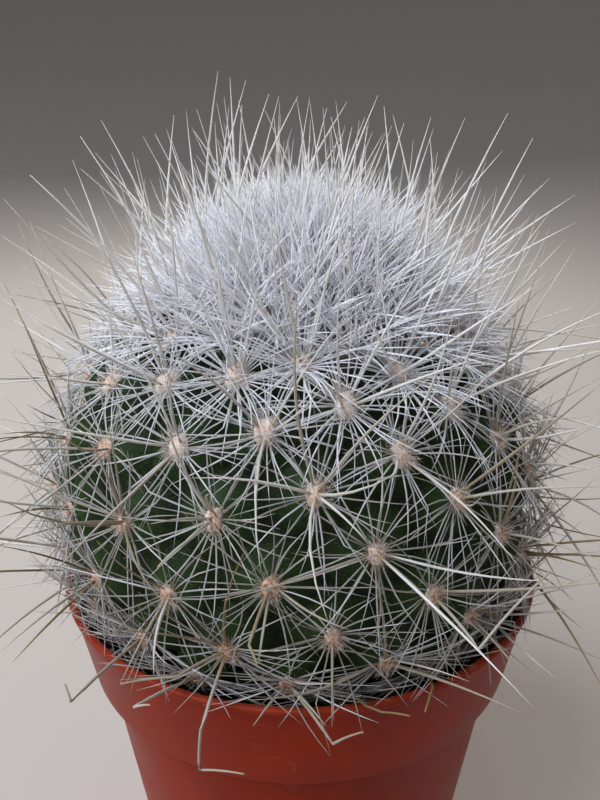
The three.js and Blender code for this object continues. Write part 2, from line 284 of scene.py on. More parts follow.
# %% Marks on the plastic
def marks_on_plastic(tree, place):
    """How strongly each place of the plastic is marked: 0 where it is clean."""
    # dust specks, 0.3 mm wide and twice as tall, one every 2 mm or so, of which the noise keeps a part
    upright = add_node(
        tree, "ShaderNodeMapping", {"Vector": place, "Rotation": (0.25, 0.2, 0), "Scale": (1.0, 1.0, 0.5)}
    )
    cells = add_node(
        tree, "ShaderNodeTexVoronoi", {"Vector": upright.outputs["Vector"], "Scale": 1 / (1.9 * MM)}
    )
    speck = add_node(
        tree,
        "ShaderNodeMapRange",
        {"Value": cells.outputs["Distance"], "From Min": 0.02, "From Max": 0.09, "To Min": 1, "To Max": 0},
    )
    patches = add_node(tree, "ShaderNodeTexNoise", {"Vector": place, "Scale": 1 / (9 * MM), "Detail": 2})
    kept = add_node(
        tree,
        "ShaderNodeMapRange",
        {"Value": patches.outputs["Fac"], "From Min": 0.42, "From Max": 0.64, "To Min": 0, "To Max": 0.5},
    )
    dust = add_node(
        tree, "ShaderNodeMath", {0: speck.outputs["Result"], 1: kept.outputs["Result"]}, operation="MULTIPLY"
    )
    # scratches lie mostly round the pot, so the noise is 4 mm long along X and Y and 0.4 mm tall
    turned = add_node(
        tree, "ShaderNodeMapping", {"Vector": place, "Rotation": (0.9, 0.6, 0.3), "Scale": (240, 260, 2600)}
    )
    hairs = add_node(
        tree, "ShaderNodeTexNoise", {"Vector": turned.outputs["Vector"], "Scale": 1, "Detail": 1}
    )
    scratch = add_node(
        tree,
        "ShaderNodeMapRange",
        {"Value": hairs.outputs["Fac"], "From Min": 0.73, "From Max": 0.78, "To Min": 0, "To Max": 0.22},
    )
    # pale scuffs, a few millimetres across with ragged edges
    rubbed = add_node(
        tree, "ShaderNodeTexNoise", {"Vector": place, "Scale": 1 / (4.5 * MM), "Detail": 8, "Roughness": 0.7}
    )
    scuff = add_node(
        tree,
        "ShaderNodeMapRange",
        {"Value": rubbed.outputs["Fac"], "From Min": 0.6, "From Max": 0.78, "To Min": 0, "To Max": 0.2},
    )
    marked = add_node(
        tree, "ShaderNodeMath", {0: dust.outputs[0], 1: scratch.outputs["Result"]}, operation="MAXIMUM"
    )
    worn = add_node(
        tree, "ShaderNodeMath", {0: marked.outputs[0], 1: scuff.outputs["Result"]}, operation="MAXIMUM"
    )
    return worn.outputs[0]


# %% [markdown]
# ## Pot plastic
# The pot is injection-moulded polypropylene in a terracotta orange. It is satin rather than glossy, with
# cloudy patches where it has been handled, and a paler top edge, partly rubbed wear and partly a painted
# highlight where the edge catches the light. The marks of the last cell are mixed over the pigment. A fine
# bump stands for the skin that the mould leaves.

# %% Pot plastic
POT_IOR = 1.49
# where the paler top edge begins, partly rubbed wear and partly a painted highlight
WORN_AND_LIT_EDGE_FROM = pot_high.z - 0.5 * MM


def moulded_polypropylene():
    material, tree = new_material("moulded polypropylene")
    place = add_node(tree, "ShaderNodeTexCoord").outputs["Object"]
    # clouds about 12 mm across, from handling and uneven pigment
    cloud = add_node(
        tree, "ShaderNodeTexNoise", {"Vector": place, "Scale": 1 / (12 * MM), "Detail": 5, "Roughness": 0.6}
    )
    body = add_node(tree, "ShaderNodeValToRGB", {"Fac": cloud.outputs["Fac"]})
    body.color_ramp.elements[0].position = 0.3
    body.color_ramp.elements[0].color = linear("#7e1e07")
    body.color_ramp.elements[1].position = 0.72
    body.color_ramp.elements[1].color = linear("#972908")
    marks = marks_on_plastic(tree, place)
    dusty = add_node(
        tree,
        "ShaderNodeMix",
        {0: marks, 6: body.outputs["Color"], 7: linear("#ad8578")},
        data_type="RGBA",
    )
    # the paler top edge, 0.5 mm tall: partly rubbed wear, partly a painted highlight where the edge catches
    # the light
    height = add_node(tree, "ShaderNodeSeparateXYZ", {"Vector": place}).outputs["Z"]
    worn_and_lit_edge = add_node(
        tree,
        "ShaderNodeMapRange",
        {"Value": height, "From Min": WORN_AND_LIT_EDGE_FROM, "From Max": pot_high.z, "To Min": 0, "To Max": 0.3},
    )
    colour = add_node(
        tree,
        "ShaderNodeMix",
        {0: worn_and_lit_edge.outputs["Result"], 6: dusty.outputs[2], 7: linear("#a5523c")},
        data_type="RGBA",
    )
    gloss = add_node(
        tree,
        "ShaderNodeMapRange",
        {"Value": cloud.outputs["Fac"], "From Min": 0.3, "From Max": 0.7, "To Min": 0.34, "To Max": 0.5},
    )
    # the fine skin of the mould, about 0.4 mm across
    grain = add_node(tree, "ShaderNodeTexNoise", {"Vector": place, "Scale": 1 / (0.4 * MM), "Detail": 3})
    relief = add_node(tree, "ShaderNodeMath", {0: grain.outputs["Fac"], 1: marks}, operation="SUBTRACT")
    bump = add_node(
        tree, "ShaderNodeBump", {"Height": relief.outputs[0], "Distance": 0.03 * MM, "Strength": 0.5}
    )
    plastic = add_node(
        tree,
        "ShaderNodeBsdfPrincipled",
        {
            "Base Color": colour.outputs[2],
            "Roughness": gloss.outputs["Result"],
            "IOR": POT_IOR,
            "Specular IOR Level": 0.12,
            "Normal": bump.outputs["Normal"],
        },
    )
    finish_material(tree, plastic)
    return material


pot_material = moulded_polypropylene()
print(pot_material.name, "has", len(pot_material.node_tree.nodes), "nodes")

# %% [markdown]
# ## Pot
# The real pot is one thin moulding: a rolled bead round the rim, a tall collar that grips the next pot in
# a stack, and a lower wall set in from it. A turned shape is a profile spun round an axis, so the
# profile is drawn once, in millimetres from the axis and up from the table, and spun in full. The rings
# that are sharp on the drawing and soft on the real pot are bevelled afterwards, each by its own width.

# %% Pot
RIM = pot_high.x / MM
TALL = pot_high.z / MM
WALL = 0.6
BEAD_OUT, BEAD_TALL, BEAD_SLOPE = 0.3, 0.85, 0.1
COLLAR_FOOT = TALL - 13
SHOULDER = COLLAR_FOOT - 0.8
COLLAR_FOOT_RADIUS, SHOULDER_RADIUS, FOOT_RADIUS = 29.8, 28.0, 21.8
NECK = RIM - BEAD_OUT
FLOOR_TOP, GUTTER_TOP = 2.4, 1.4
GUTTER_INNER, GUTTER_OUTER, GUTTER_SLOPE = 11.0, 19.4, 0.3
SPIN_STEPS, ROUND_SEGMENTS = 144, 4
SAME_PLACE, SAME_RING = 0.001 * MM, 0.02 * MM  # how near two vertices, or a vertex and its ring, lie
POT_CREASE = math.radians(40)


def pot_radius(height):
    """The outer wall's radius at a height, both in millimetres."""
    if height < SHOULDER:
        return FOOT_RADIUS + (SHOULDER_RADIUS - FOOT_RADIUS) * height / SHOULDER
    return COLLAR_FOOT_RADIUS + (NECK - COLLAR_FOOT_RADIUS) * (height - COLLAR_FOOT) / (TALL - COLLAR_FOOT)


def spun(profile):
    """A bmesh of a profile of (radius, height) points in millimetres, turned round Z and closed."""
    bm = bmesh.new()
    verts = [bm.verts.new((radius * MM, 0, height * MM)) for radius, height in profile]
    edges = [bm.edges.new(pair) for pair in zip(verts, verts[1:])]
    bmesh.ops.spin(
        bm,
        geom=verts + edges,
        axis=(0, 0, 1),
        cent=(0, 0, 0),
        angle=2 * math.pi,
        steps=SPIN_STEPS,
        use_merge=True,
    )
    bmesh.ops.remove_doubles(bm, verts=bm.verts, dist=SAME_PLACE)
    bmesh.ops.recalc_face_normals(bm, faces=bm.faces)
    return bm


def ring_edges(bm, radius, height):
    """The edges of the ring at a radius and a height, in millimetres."""

    def is_on_ring(vert):
        out = math.hypot(vert.co.x, vert.co.y)
        return abs(out - radius * MM) < SAME_RING and abs(vert.co.z - height * MM) < SAME_RING

    return [edge for edge in bm.edges if all(is_on_ring(vert) for vert in edge.verts)]


def make_pot():
    bead = TALL - BEAD_TALL
    foot, collar_foot = (FOOT_RADIUS, 0), (COLLAR_FOOT_RADIUS, COLLAR_FOOT)
    bead_foot, lip_outside, lip_inside = (RIM, bead + BEAD_SLOPE), (RIM, TALL), (NECK - WALL, TALL)
    profile = [
        (0, 0),
        (GUTTER_INNER, 0),
        (GUTTER_INNER + GUTTER_SLOPE, GUTTER_TOP),
        (GUTTER_OUTER - GUTTER_SLOPE, GUTTER_TOP),
        (GUTTER_OUTER, 0),
        foot,
        (SHOULDER_RADIUS, SHOULDER),
        collar_foot,
        (pot_radius(bead), bead),
        bead_foot,
        lip_outside,
        lip_inside,
        (COLLAR_FOOT_RADIUS - WALL, COLLAR_FOOT),
        (SHOULDER_RADIUS - WALL, SHOULDER),
        (pot_radius(FLOOR_TOP) - WALL, FLOOR_TOP),
        (0, FLOOR_TOP),
    ]
    bm = spun(profile)
    rounded = {lip_outside: 0.32, bead_foot: 0.2, lip_inside: 0.25, collar_foot: 0.45, foot: 0.9}  # mm
    for (radius, height), width in rounded.items():
        bmesh.ops.bevel(
            bm,
            geom=ring_edges(bm, radius, height),
            offset=width * MM,
            segments=ROUND_SEGMENTS,
            profile=0.5,
            affect="EDGES",
            material=-1,
        )
    return finish_piece(bm, "pot_shell", pot_material, "pot", POT_CREASE)


pot = make_pot()

# %% [markdown]
# ## Drain holes
# Water leaves such a pot through holes in a gutter that is raised a little from the table. The underside
# is seen from below, so it has its eight holes. A Boolean modifier cuts a ring of upright pegs out of the
# floor. It is applied at once, so that no modifier is left on the piece.

# %% Drain holes
DRAIN_HOLES, DRAIN_RADIUS, DRAIN_SIDES = 8, 2.3, 32


def cut_away(piece, cutter_bm):
    """Cuts a closed bmesh out of a piece and leaves no modifier behind."""
    mesh = bpy.data.meshes.new("cutter")
    cutter_bm.to_mesh(mesh)
    cutter_bm.free()
    cutter = bpy.data.objects.new("cutter", mesh)
    bpy.context.scene.collection.objects.link(cutter)
    cut = piece.modifiers.new("cut", "BOOLEAN")
    cut.operation = "DIFFERENCE"
    cut.solver = "EXACT"
    cut.object = cutter
    with bpy.context.temp_override(object=piece):
        bpy.ops.object.modifier_apply(modifier=cut.name)
    bpy.data.objects.remove(cutter)
    bpy.data.meshes.remove(mesh)


def drain_cutter():
    bm = bmesh.new()
    for i in range(DRAIN_HOLES):
        angle = (i + 0.5) * 2 * math.pi / DRAIN_HOLES
        place = Matrix.Rotation(angle, 4, "Z") @ Matrix.Translation(
            Vector(((GUTTER_INNER + GUTTER_OUTER) / 2, 0, FLOOR_TOP)) * MM
        )
        bmesh.ops.create_cone(
            bm,
            cap_ends=True,
            segments=DRAIN_SIDES,
            radius1=DRAIN_RADIUS * MM,
            radius2=DRAIN_RADIUS * MM,
            depth=2 * FLOOR_TOP * MM,
            matrix=place,
        )
    return bm


cut_away(pot, drain_cutter())
print("drain holes", DRAIN_HOLES, "faces of the pot", len(pot.data.polygons))

# %% [markdown]
# ## The plant's own frame
# A cactus sets its areoles one at a time at the growing tip, each a golden angle round from the last, and
# growth then carries them down the side. The polar angle follows a growth curve, slow, then fast, then
# slow. The same few numbers place the solid's areoles, so the two agree one to one, and a few younger ones
# before its first fill the crown. The plant leans a few degrees to the front and to the right, and one
# matrix holds that lean.

# %% Where the areoles sit
BODY_RADIUS, BODY_HALF_HEIGHT = 29.5 * MM, 26.9 * MM
BODY_CENTRE = Vector((-0.6, -0.9, 70.4)) * MM
LEAN = Matrix.Rotation(math.radians(3.8), 4, "Y") @ Matrix.Rotation(math.radians(4), 4, "X")
PLANT = Matrix.Translation(BODY_CENTRE) @ LEAN
GOLDEN_ANGLE = math.radians(137.508)
FIRST_AZIMUTH = math.radians(8.8)
WIDEST_POLAR = math.radians(142.2)
GROWTH_RATE, HALFWAY_AREOLE = 0.0259, 120.5
YOUNGEST, LAST_SPINY, LAST_TUBERCLE = -44, 183, 196
FULL_SPACING = 0.26  # of the ball's radius, where a tubercle is full-grown
TUBERCLE_HEIGHT = 1.7 * MM


def skin(direction, height):
    """The skin's place and the way it faces, in a direction from the body's middle."""
    semi_axes = Vector((BODY_RADIUS, BODY_RADIUS, BODY_HALF_HEIGHT))
    facing = Vector([d / s for d, s in zip(direction, semi_axes)]).normalized()
    return Vector([d * s for d, s in zip(direction, semi_axes)]) + facing * height, facing


class Areole:
    """Areole number n, counted from the growing tip of the solid's rule."""

    def __init__(self, n):
        self.n = n
        self.polar = WIDEST_POLAR / (1 + math.exp(-GROWTH_RATE * (n - HALFWAY_AREOLE)))
        azimuth = FIRST_AZIMUTH - GOLDEN_ANGLE * n
        out = math.sin(self.polar)
        self.direction = Vector((out * math.sin(azimuth), -out * math.cos(azimuth), math.cos(self.polar)))
        step = GROWTH_RATE * self.polar * (1 - self.polar / WIDEST_POLAR)
        # an areole's share of a ball of radius 1, taken as a hexagon, is as wide as the spacing
        self.spacing = math.sqrt(4 * math.pi * out * step / math.sqrt(3))
        self.size = min(1, self.spacing / FULL_SPACING)
        place, facing = skin(self.direction, TUBERCLE_HEIGHT * self.size)
        self.place = PLANT @ place
        self.facing = LEAN.to_3x3() @ facing
        tip_way = LEAN.to_3x3() @ UP
        self.rise = (tip_way - self.facing * tip_way.dot(self.facing)).normalized()
        self.aside = self.facing.cross(self.rise)

    def way(self, turn, raised):
        """A direction that is turned from the rise, and raised from the skin."""
        along = self.rise * math.cos(turn) + self.aside * math.sin(turn)
        return along * math.cos(raised) + self.facing * math.sin(raised)


areoles = [Areole(n) for n in range(YOUNGEST, LAST_TUBERCLE + 1)]
widest = max(one.spacing for one in areoles) * BODY_RADIUS / MM
print("areoles", len(areoles), "widest spacing", round(widest, 1), "mm")

# %% [markdown]
# ## Green skin
# Cactus skin is a thick waxy cuticle over green tissue. Between the tubercles it is nearly black, because
# little light gets in under the spines, and on them it is a deep green, mottled with lighter pores about
# a quarter of a millimetre apart. That shade between the tubercles is painted into the colour. How high a
# point stands on its tubercle is kept in the mesh as an attribute named crest, and the colour reads that,
# so that the painted shade follows the tubercles exactly. A second one, named young, marks the growing
# tip, where the wool of the crowded new areoles mats over the green. That pale wool is partly real and
# partly painted light, standing in for the light that the crowded spines scatter into the crown.

# %% Green skin
def waxy_cactus_skin():
    material, tree = new_material("waxy cactus skin")
    place = add_node(tree, "ShaderNodeTexCoord").outputs["Object"]
    crest = add_node(tree, "ShaderNodeAttribute", attribute_name="crest").outputs["Fac"]
    # tissue tone, patches of about 5 mm
    tone = add_node(tree, "ShaderNodeTexNoise", {"Vector": place, "Scale": 1 / (5 * MM), "Detail": 4})
    shift = add_node(tree, "ShaderNodeMath", {0: tone.outputs["Fac"], 1: -0.5}, operation="ADD")
    level = add_node(
        tree, "ShaderNodeMath", {0: shift.outputs[0], 1: 0.5, 2: crest}, operation="MULTIPLY_ADD"
    )
    # the ramp paints shade: nearly black where crest is low, in the creases between tubercles, and deep green
    # on the crests
    green = add_node(tree, "ShaderNodeValToRGB", {"Fac": level.outputs[0]})
    green.color_ramp.elements[0].position = 0.05
    green.color_ramp.elements[0].color = linear("#11180a")
    green.color_ramp.elements[1].position = 0.95
    green.color_ramp.elements[1].color = linear("#40592f")
    middle = green.color_ramp.elements.new(0.5)
    middle.color = linear("#253818")
    # pores
    cells = add_node(tree, "ShaderNodeTexVoronoi", {"Vector": place, "Scale": 1 / (0.28 * MM)})
    pore = add_node(
        tree,
        "ShaderNodeMapRange",
        {"Value": cells.outputs["Distance"], "From Min": 0.1, "From Max": 0.5, "To Min": 0.14, "To Max": 0},
    )
    colour = add_node(
        tree,
        "ShaderNodeMix",
        {0: pore.outputs["Result"], 6: green.outputs["Color"], 7: linear("#6f9148")},
        data_type="RGBA",
    )
    bump = add_node(
        tree,
        "ShaderNodeBump",
        {"Height": cells.outputs["Distance"], "Distance": 0.05 * MM, "Strength": 0.6},
    )
    # young wool, a matted cover over the growing tip, partly real wool and partly painted light, pale where
    # the crown's spines would shade it
    young = add_node(tree, "ShaderNodeAttribute", attribute_name="young").outputs["Fac"]
    matted = add_node(
        tree, "ShaderNodeMath", {0: shift.outputs[0], 1: 1.5, 2: 0.9}, operation="MULTIPLY_ADD"
    )
    covered = add_node(
        tree, "ShaderNodeMath", {0: matted.outputs[0], 1: young}, operation="MULTIPLY", use_clamp=True
    )
    woolly = add_node(
        tree,
        "ShaderNodeMix",
        {0: covered.outputs[0], 6: colour.outputs[2], 7: linear("#e8e5e2")},
        data_type="RGBA",
    )
    flesh = add_node(
        tree,
        "ShaderNodeBsdfPrincipled",
        {
            "Base Color": woolly.outputs[2],
            "Roughness": 0.6,
            "IOR": 1.4,
            "Specular IOR Level": 0.2,
            "Subsurface Weight": 0.12,
            "Subsurface Radius": (0.5, 1.0, 0.3),
            "Subsurface Scale": 1.2 * MM,
            "Normal": bump.outputs["Normal"],
        },
    )
    finish_material(tree, flesh)
    return material


skin_material = waxy_cactus_skin()
print(skin_material.name, "has", len(skin_material.node_tree.nodes), "nodes")

# %% [markdown]
# ## Body
# An icosphere has no poles and nearly even triangles, so relief comes out alike everywhere, which a UV
# sphere's crowded poles would spoil. Each vertex is a direction. Its nearest areole gives the height:
# a blunt cone over the areole, falling to a crease halfway to the next. The underside is drawn out into
# the root, inside the soil.

# %% Body
BODY_SUBDIVISIONS = 7
BLUNTNESS = 1.7  # of a tubercle's cone: 1 is a sharp point
UNEVEN_HEIGHT, UNEVEN_RATE = 0.12 * MM, 9
WOOLLY_POLAR, BARE_POLAR = math.radians(18), math.radians(35)  # where the tip's wool thins out and ends
VALLEY_DEPTH = 0.5 * MM  # below the smooth body
VALLEY_REACH = 0.577  # the corner between three areoles, in spacings
DENT_DEPTH, DENT_REACH = 0.25 * MM, 0.1
ROOT_RADIUS, ROOT_LENGTH, ROOT_TAPER = 7 * MM, 20 * MM, 1.4


def drawn_to_root(place, root_radius):
    """Draws the underside of the body out into a blunt root."""
    out = math.hypot(place.x, place.y)
    if place.z < 0 and out < root_radius:
        place.z -= ROOT_LENGTH * (1 - (out / root_radius) ** ROOT_TAPER)
    return place


def make_body():
    bm = bmesh.new()
    bmesh.ops.create_icosphere(bm, subdivisions=BODY_SUBDIVISIONS, radius=1)
    directions = np.array([vert.co for vert in bm.verts])
    centres = np.array([one.direction for one in areoles])
    spacings = np.array([one.spacing for one in areoles])
    reach = np.arccos(np.clip(directions @ centres.T, -1, 1)) / spacings
    nearest = reach.argmin(axis=1)
    crest = 1 - np.clip(reach.min(axis=1) / VALLEY_REACH, 0, 1)
    sizes = np.array([one.size for one in areoles])[nearest]
    height = (TUBERCLE_HEIGHT + VALLEY_DEPTH) * (1 - (1 - crest) ** BLUNTNESS) - VALLEY_DEPTH
    height -= DENT_DEPTH * np.clip(1 - reach.min(axis=1) / DENT_REACH, 0, 1)
    for vert, size, raised in zip(bm.verts, sizes, height * sizes):
        direction = vert.co.copy()
        unevenness = UNEVEN_HEIGHT * noise.noise(direction * UNEVEN_RATE)
        place, _ = skin(direction, raised + unevenness)
        vert.co = PLANT @ drawn_to_root(place, ROOT_RADIUS)
    piece = finish_piece(bm, "cactus_body", skin_material, "cactus", ALL_SMOOTH)
    polar = np.arccos(np.clip(directions[:, 2], -1, 1))
    young = np.clip((BARE_POLAR - polar) / (BARE_POLAR - WOOLLY_POLAR), 0, 1)
    for label, values in (("crest", crest), ("young", young)):
        attribute = piece.data.attributes.new(label, "FLOAT", "POINT")
        attribute.data.foreach_set("value", values.astype(np.float32))


make_body()

# %% [markdown]
# ## Spine material
# A spine is dead, hard, clear tissue, so light gets a little way into it: white ones look like frosted
# glass fibre and old ones like straw. The root is tanned where it leaves the wool. Two numbers kept in
# the mesh drive the colour: along runs from 0 at the root to 1 at the tip, and tone is drawn once for
# each spine, so that no two neighbours are quite alike.

# %% Spine material
def horny_spine(name, light, dark, root, tip):
    material, tree = new_material(name)
    tone = add_node(tree, "ShaderNodeAttribute", attribute_name="tone").outputs["Fac"]
    along = add_node(tree, "ShaderNodeAttribute", attribute_name="along").outputs["Fac"]
    shaft = add_node(tree, "ShaderNodeMix", {0: tone, 6: linear(light), 7: linear(dark)}, data_type="RGBA")
    near_root = add_node(
        tree,
        "ShaderNodeMapRange",
        {"Value": along, "From Min": 0.02, "From Max": 0.16, "To Min": 0.8, "To Max": 0},
    )
    # young spines are white down to the root
    tanned = add_node(
        tree, "ShaderNodeMath", {0: tone, 1: 1.8, 2: 0.2}, operation="MULTIPLY_ADD", use_clamp=True
    )
    tan = add_node(
        tree,
        "ShaderNodeMath",
        {0: near_root.outputs["Result"], 1: tanned.outputs[0]},
        operation="MULTIPLY",
    )
    rooted = add_node(
        tree,
        "ShaderNodeMix",
        {0: tan.outputs[0], 6: shaft.outputs[2], 7: linear(root)},
        data_type="RGBA",
    )
    near_tip = add_node(
        tree,
        "ShaderNodeMapRange",
        {"Value": along, "From Min": 0.8, "From Max": 1.0, "To Min": 0, "To Max": 0.6},
    )
    colour = add_node(
        tree,
        "ShaderNodeMix",
        {0: near_tip.outputs["Result"], 6: rooted.outputs[2], 7: linear(tip)},
        data_type="RGBA",
    )
    horn = add_node(
        tree,
        "ShaderNodeBsdfPrincipled",
        {
            "Base Color": colour.outputs[2],
            "Roughness": 0.46,
            "IOR": 1.54,
            "Specular IOR Level": 0.22,
            "Subsurface Weight": 0.55,
            "Subsurface Radius": (1.0, 0.9, 0.8),
            "Subsurface Scale": 0.25 * MM,
        },
    )
    finish_material(tree, horn)
    return material


# the radials' dark tone is partly greying with age and partly painted shade among the dense lower spines
radial_horn = horny_spine("white radial spine", "#f8f7fb", "#7d766a", "#b39468", "#aeb0b1")
central_horn = horny_spine("straw central spine", "#f1f0ee", "#7c6840", "#b58f55", "#a68d5e")
print("spine materials", radial_horn.name, "and", central_horn.name)

# %% [markdown]
# ## Spines from a few patterns
# Thousands of spines are too many to shape one by one, and copies of a single one would look combed. So a
# few patterns are made, each a slim cone cut into rings, swollen in the middle, drawn to a point and bent
# a little differently. A pattern is 1 long, so that its copies can have any length. Its X side is the side
# that bends towards the skin. A knocked spine turns sharply at its kink.

# %% Spine patterns
TIP_WIDTH = 0.06  # of the full width
ROOT_WIDTH, BELLY_AT = 0.62, 0.3  # a spine swells from its root to its belly
KINK_AT = 0.6  # where a knocked spine turns, as a part of its length


def as_pattern(bm):
    """A mesh that copies are made of."""
    mesh = bpy.data.meshes.new("pattern")
    bm.to_mesh(mesh)
    bm.free()
    return mesh


def cut_rod(sides, length, cuts):
    """A bmesh of an upright rod 1 thick, cut into rings. It stands on the origin."""
    bm = bmesh.new()
    middle = Matrix.Translation((0, 0, length / 2))
    bmesh.ops.create_cone(
        bm, cap_ends=True, segments=sides, radius1=0.5, radius2=0.5, depth=length, matrix=middle
    )
    upright = [edge for edge in bm.edges if abs(edge.verts[0].co.z - edge.verts[1].co.z) > length / 2]
    bmesh.ops.subdivide_edges(bm, edges=upright, cuts=cuts)
    return bm


def make_pattern(thickness, sides, cuts, bend, sway, kink=0.0, fullness=2.4):
    """A spine 1 long, from 0 along Z. Thickness, bend and sway are parts of its length, and the fuller it
    is, the later it narrows."""
    bm = cut_rod(sides, 1, cuts)
    for vert in bm.verts:
        along = vert.co.z
        width = thickness * (TIP_WIDTH + (1 - TIP_WIDTH) * (1 - along**fullness))
        width *= ROOT_WIDTH + (1 - ROOT_WIDTH) * min(1, along / BELLY_AT)
        vert.co.x = vert.co.x * width + bend * along**2
        vert.co.y = vert.co.y * width + sway * math.sin(math.pi * along) + kink * max(0, along - KINK_AT)
    return as_pattern(bm)


# %% [markdown]
# ## Planting
# Planting a spine copies a pattern, scales it by its length, turns it and moves it to its areole, all with
# one matrix. The copies are gathered into one mesh, because thousands of objects would be slow and hard to
# handle. Each vertex keeps two numbers that the material reads: along and tone.

# %% Planting
def planted(root, way, down, length):
    """The matrix that stands a pattern on its root along a way, with its X side turned down."""
    z_axis = way.normalized()
    x_axis = (down - z_axis * down.dot(z_axis)).normalized()
    turn = Matrix((x_axis, z_axis.cross(x_axis), z_axis)).transposed().to_4x4()
    return Matrix.Translation(root) @ turn @ Matrix.Scale(length, 4)


def add_copy(bm, pattern, matrix):
    """Adds a copy of a pattern to a bmesh."""
    copy = pattern.copy()
    copy.transform(matrix)
    bm.from_mesh(copy)
    bpy.data.meshes.remove(copy)


def keep_numbers(piece, numbers):
    """Keeps one number for each vertex of the piece, under each name."""
    for name, values in numbers.items():
        attribute = piece.data.attributes.new(name, "FLOAT", "POINT")
        attribute.data.foreach_set("value", np.concatenate(values).astype(np.float32))


def plant_all(name, plants, material):
    """Makes one piece from a list of (pattern, matrix, tone)."""
    bm = bmesh.new()
    for pattern, matrix, _ in plants:
        add_copy(bm, pattern, matrix)
    piece = finish_piece(bm, name, material, "cactus", ALL_SMOOTH)
    heights = {pattern: [vert.co.z for vert in pattern.vertices] for pattern, _, _ in plants}
    along = [heights[pattern] for pattern, _, _ in plants]
    tones = [np.full(len(pattern.vertices), tone) for pattern, _, tone in plants]
    keep_numbers(piece, {"along": along, "tone": tones})
    print(name, "planted", len(plants))


# %% [markdown]
# ## Keeping spines out of the pot and inside the box
# The lowest spines meet the pot. On the real plant they are pushed up and out by it, so a spine whose line
# would touch the rim, the wall or the soil is lifted a few degrees at a time until it is clear, and one
# that finds no way is left out. A tip may not pass the furthest tips of the solid, or it is shortened.

# %% Keeping spines clear
SOIL_TOP = soil_high.z / MM
LIFT_STEP, MOST_LIFTS = math.radians(6), 14
SPOTS = [i / 10 for i in range(1, 11)]  # where along a spine its clearance is looked at
RADIAL_ROOM, CENTRAL_ROOM = 0.35, 0.5  # mm
TIP_MARGIN = 1.5 * MM
LEVEL = 1e-6  # a way that moves less than this along an axis never meets the box there


def is_clear(place, room, over_rim):
    """Whether a place is clear of the pot and the soil by some room in millimetres."""
    out, height = math.hypot(place.x, place.y) / MM, place.z / MM
    if height > TALL + room or (over_rim and out > RIM + room):
        return True
    return height > SOIL_TOP + room and out < pot_radius(height) - WALL - room


def lifted(root, way, length, room, over_rim=True):
    """The way, lifted until the spine is clear, or None. Only over_rim may it hang down outside the pot."""
    hinge = way.cross(UP).normalized()
    for step in range(MOST_LIFTS):
        aim = way.copy()
        aim.rotate(Matrix.Rotation(step * LIFT_STEP, 3, hinge))
        if all(is_clear(root + aim * (length * spot), room, over_rim) for spot in SPOTS):
            return aim
    return None


def fitted_length(root, way, length):
    """The length, shortened where the tip would leave the solid's box by more than the margin."""
    for axis in range(3):
        low, high = cad_box[0][axis] - TIP_MARGIN, cad_box[1][axis] + TIP_MARGIN
        limit = high if way[axis] > 0 else low
        if axis == 2 and way.z < 0:
            limit = TIP_MARGIN
        if abs(way[axis]) > LEVEL:
            length = min(length, (limit - root[axis]) / way[axis])
    return length


print("the soil's top lies", round(TALL - SOIL_TOP, 1), "mm under the rim")

# %% [markdown]
# ## How areoles age
# Growth carries an areole down from the tip, so its polar angle tells its age. Young spines stand up, are
# white and crowd together, and old ones lie low. Old radials are painted dull, partly greyed with age and
# partly as painted shade among the dense spines lower on the body. Two helpers say this once: how far an
# areole has come between two angles, and a random number that moves from a young range to an old one.

# %% How areoles age
SEED = 11
UPWARD_PULL = 0.3  # how far young spines turn up towards the light
FOLDING = (15, 46)  # the polar angles between which the radials fold down
draw = random.Random(SEED)


def smooth_step(low, high, value):
    part = min(1, max(0, (value - low) / (high - low)))
    return part * part * (3 - 2 * part)


def aged_over(span, one):
    """0 for an areole up to the span's first polar angle, in degrees, and 1 from its last one on."""
    first, last = span
    return smooth_step(math.radians(first), math.radians(last), one.polar)


def drawn_between(young, old, age):
    """A random number from the young range, the old one, or a blend of both."""
    return draw.uniform(*young) * (1 - age) + draw.uniform(*old) * age


def pulled_up(one, turn, raised, age):
    """The way of a spine, turned up where it is young."""
    way = one.way(turn, raised)
    way.z += UPWARD_PULL * (1 - age)
    return way.normalized()


print("areoles whose radials lie low", sum(aged_over(FOLDING, one) == 1 for one in areoles))

# %% [markdown]
# ## Radial spines
# An old areole spreads about thirty radials, as fine as a hair at 0.2 mm, in a flat star that reaches past
# the neighbouring areoles and interlaces with their stars. A young one has more than twice as many, thicker
# and standing up, which make the crown white. The angle steps round the areole evenly, with a little chance.
# A few in a hundred have been knocked, and turn sharply.

# %% Radial spines
RADIAL_WIDTH, YOUNG_WIDTH = 0.021, 0.026  # of the length
RADIAL_SIDES, RADIAL_CUTS = 4, 4
OLD_RADIAL_COUNT, YOUNG_RADIAL_COUNT, CROWN_RADIAL_COUNT = 28, 66, 36
# over the second span the radials darken, partly greying with age and partly painted shade lower on the body
THINNING, DULLING_AND_SHADE = (30, 58), (32, 72)  # polar angles
COUNT_GROWS = (0.25, 0.75)  # the sizes between which an areole gets its full count
TURN_CHANCE = 0.45  # of the step between two spines
STANDING, LYING = (24, 84), (2, 34)  # degrees from the skin
YOUNG_LENGTHS, OLD_LENGTHS = (6.5, 16, 10.5), (7.6, 11.4)  # mm: the least, the most and the commonest
ROOT_OUT, ROOT_IN = 0.5, 0.25  # mm from the areole's middle, and into the skin
# the dull tone is partly age and partly painted shade
FRESH_TONE, BRIGHT_TONE, DULL_SHADED_TONE = (0, 0.14), (0.25, 0.5), (0.6, 0.95)
KNOCKED_SHARE, KNOCKED_CURVE, KINKS = 0.04, (0.05, 0.02), (-0.6, 0.8)
HANGING_SHARE = 0.12  # of the radials may hang down outside the rim
BRIGHT_SHARE = 0.16  # of the old radials stay white

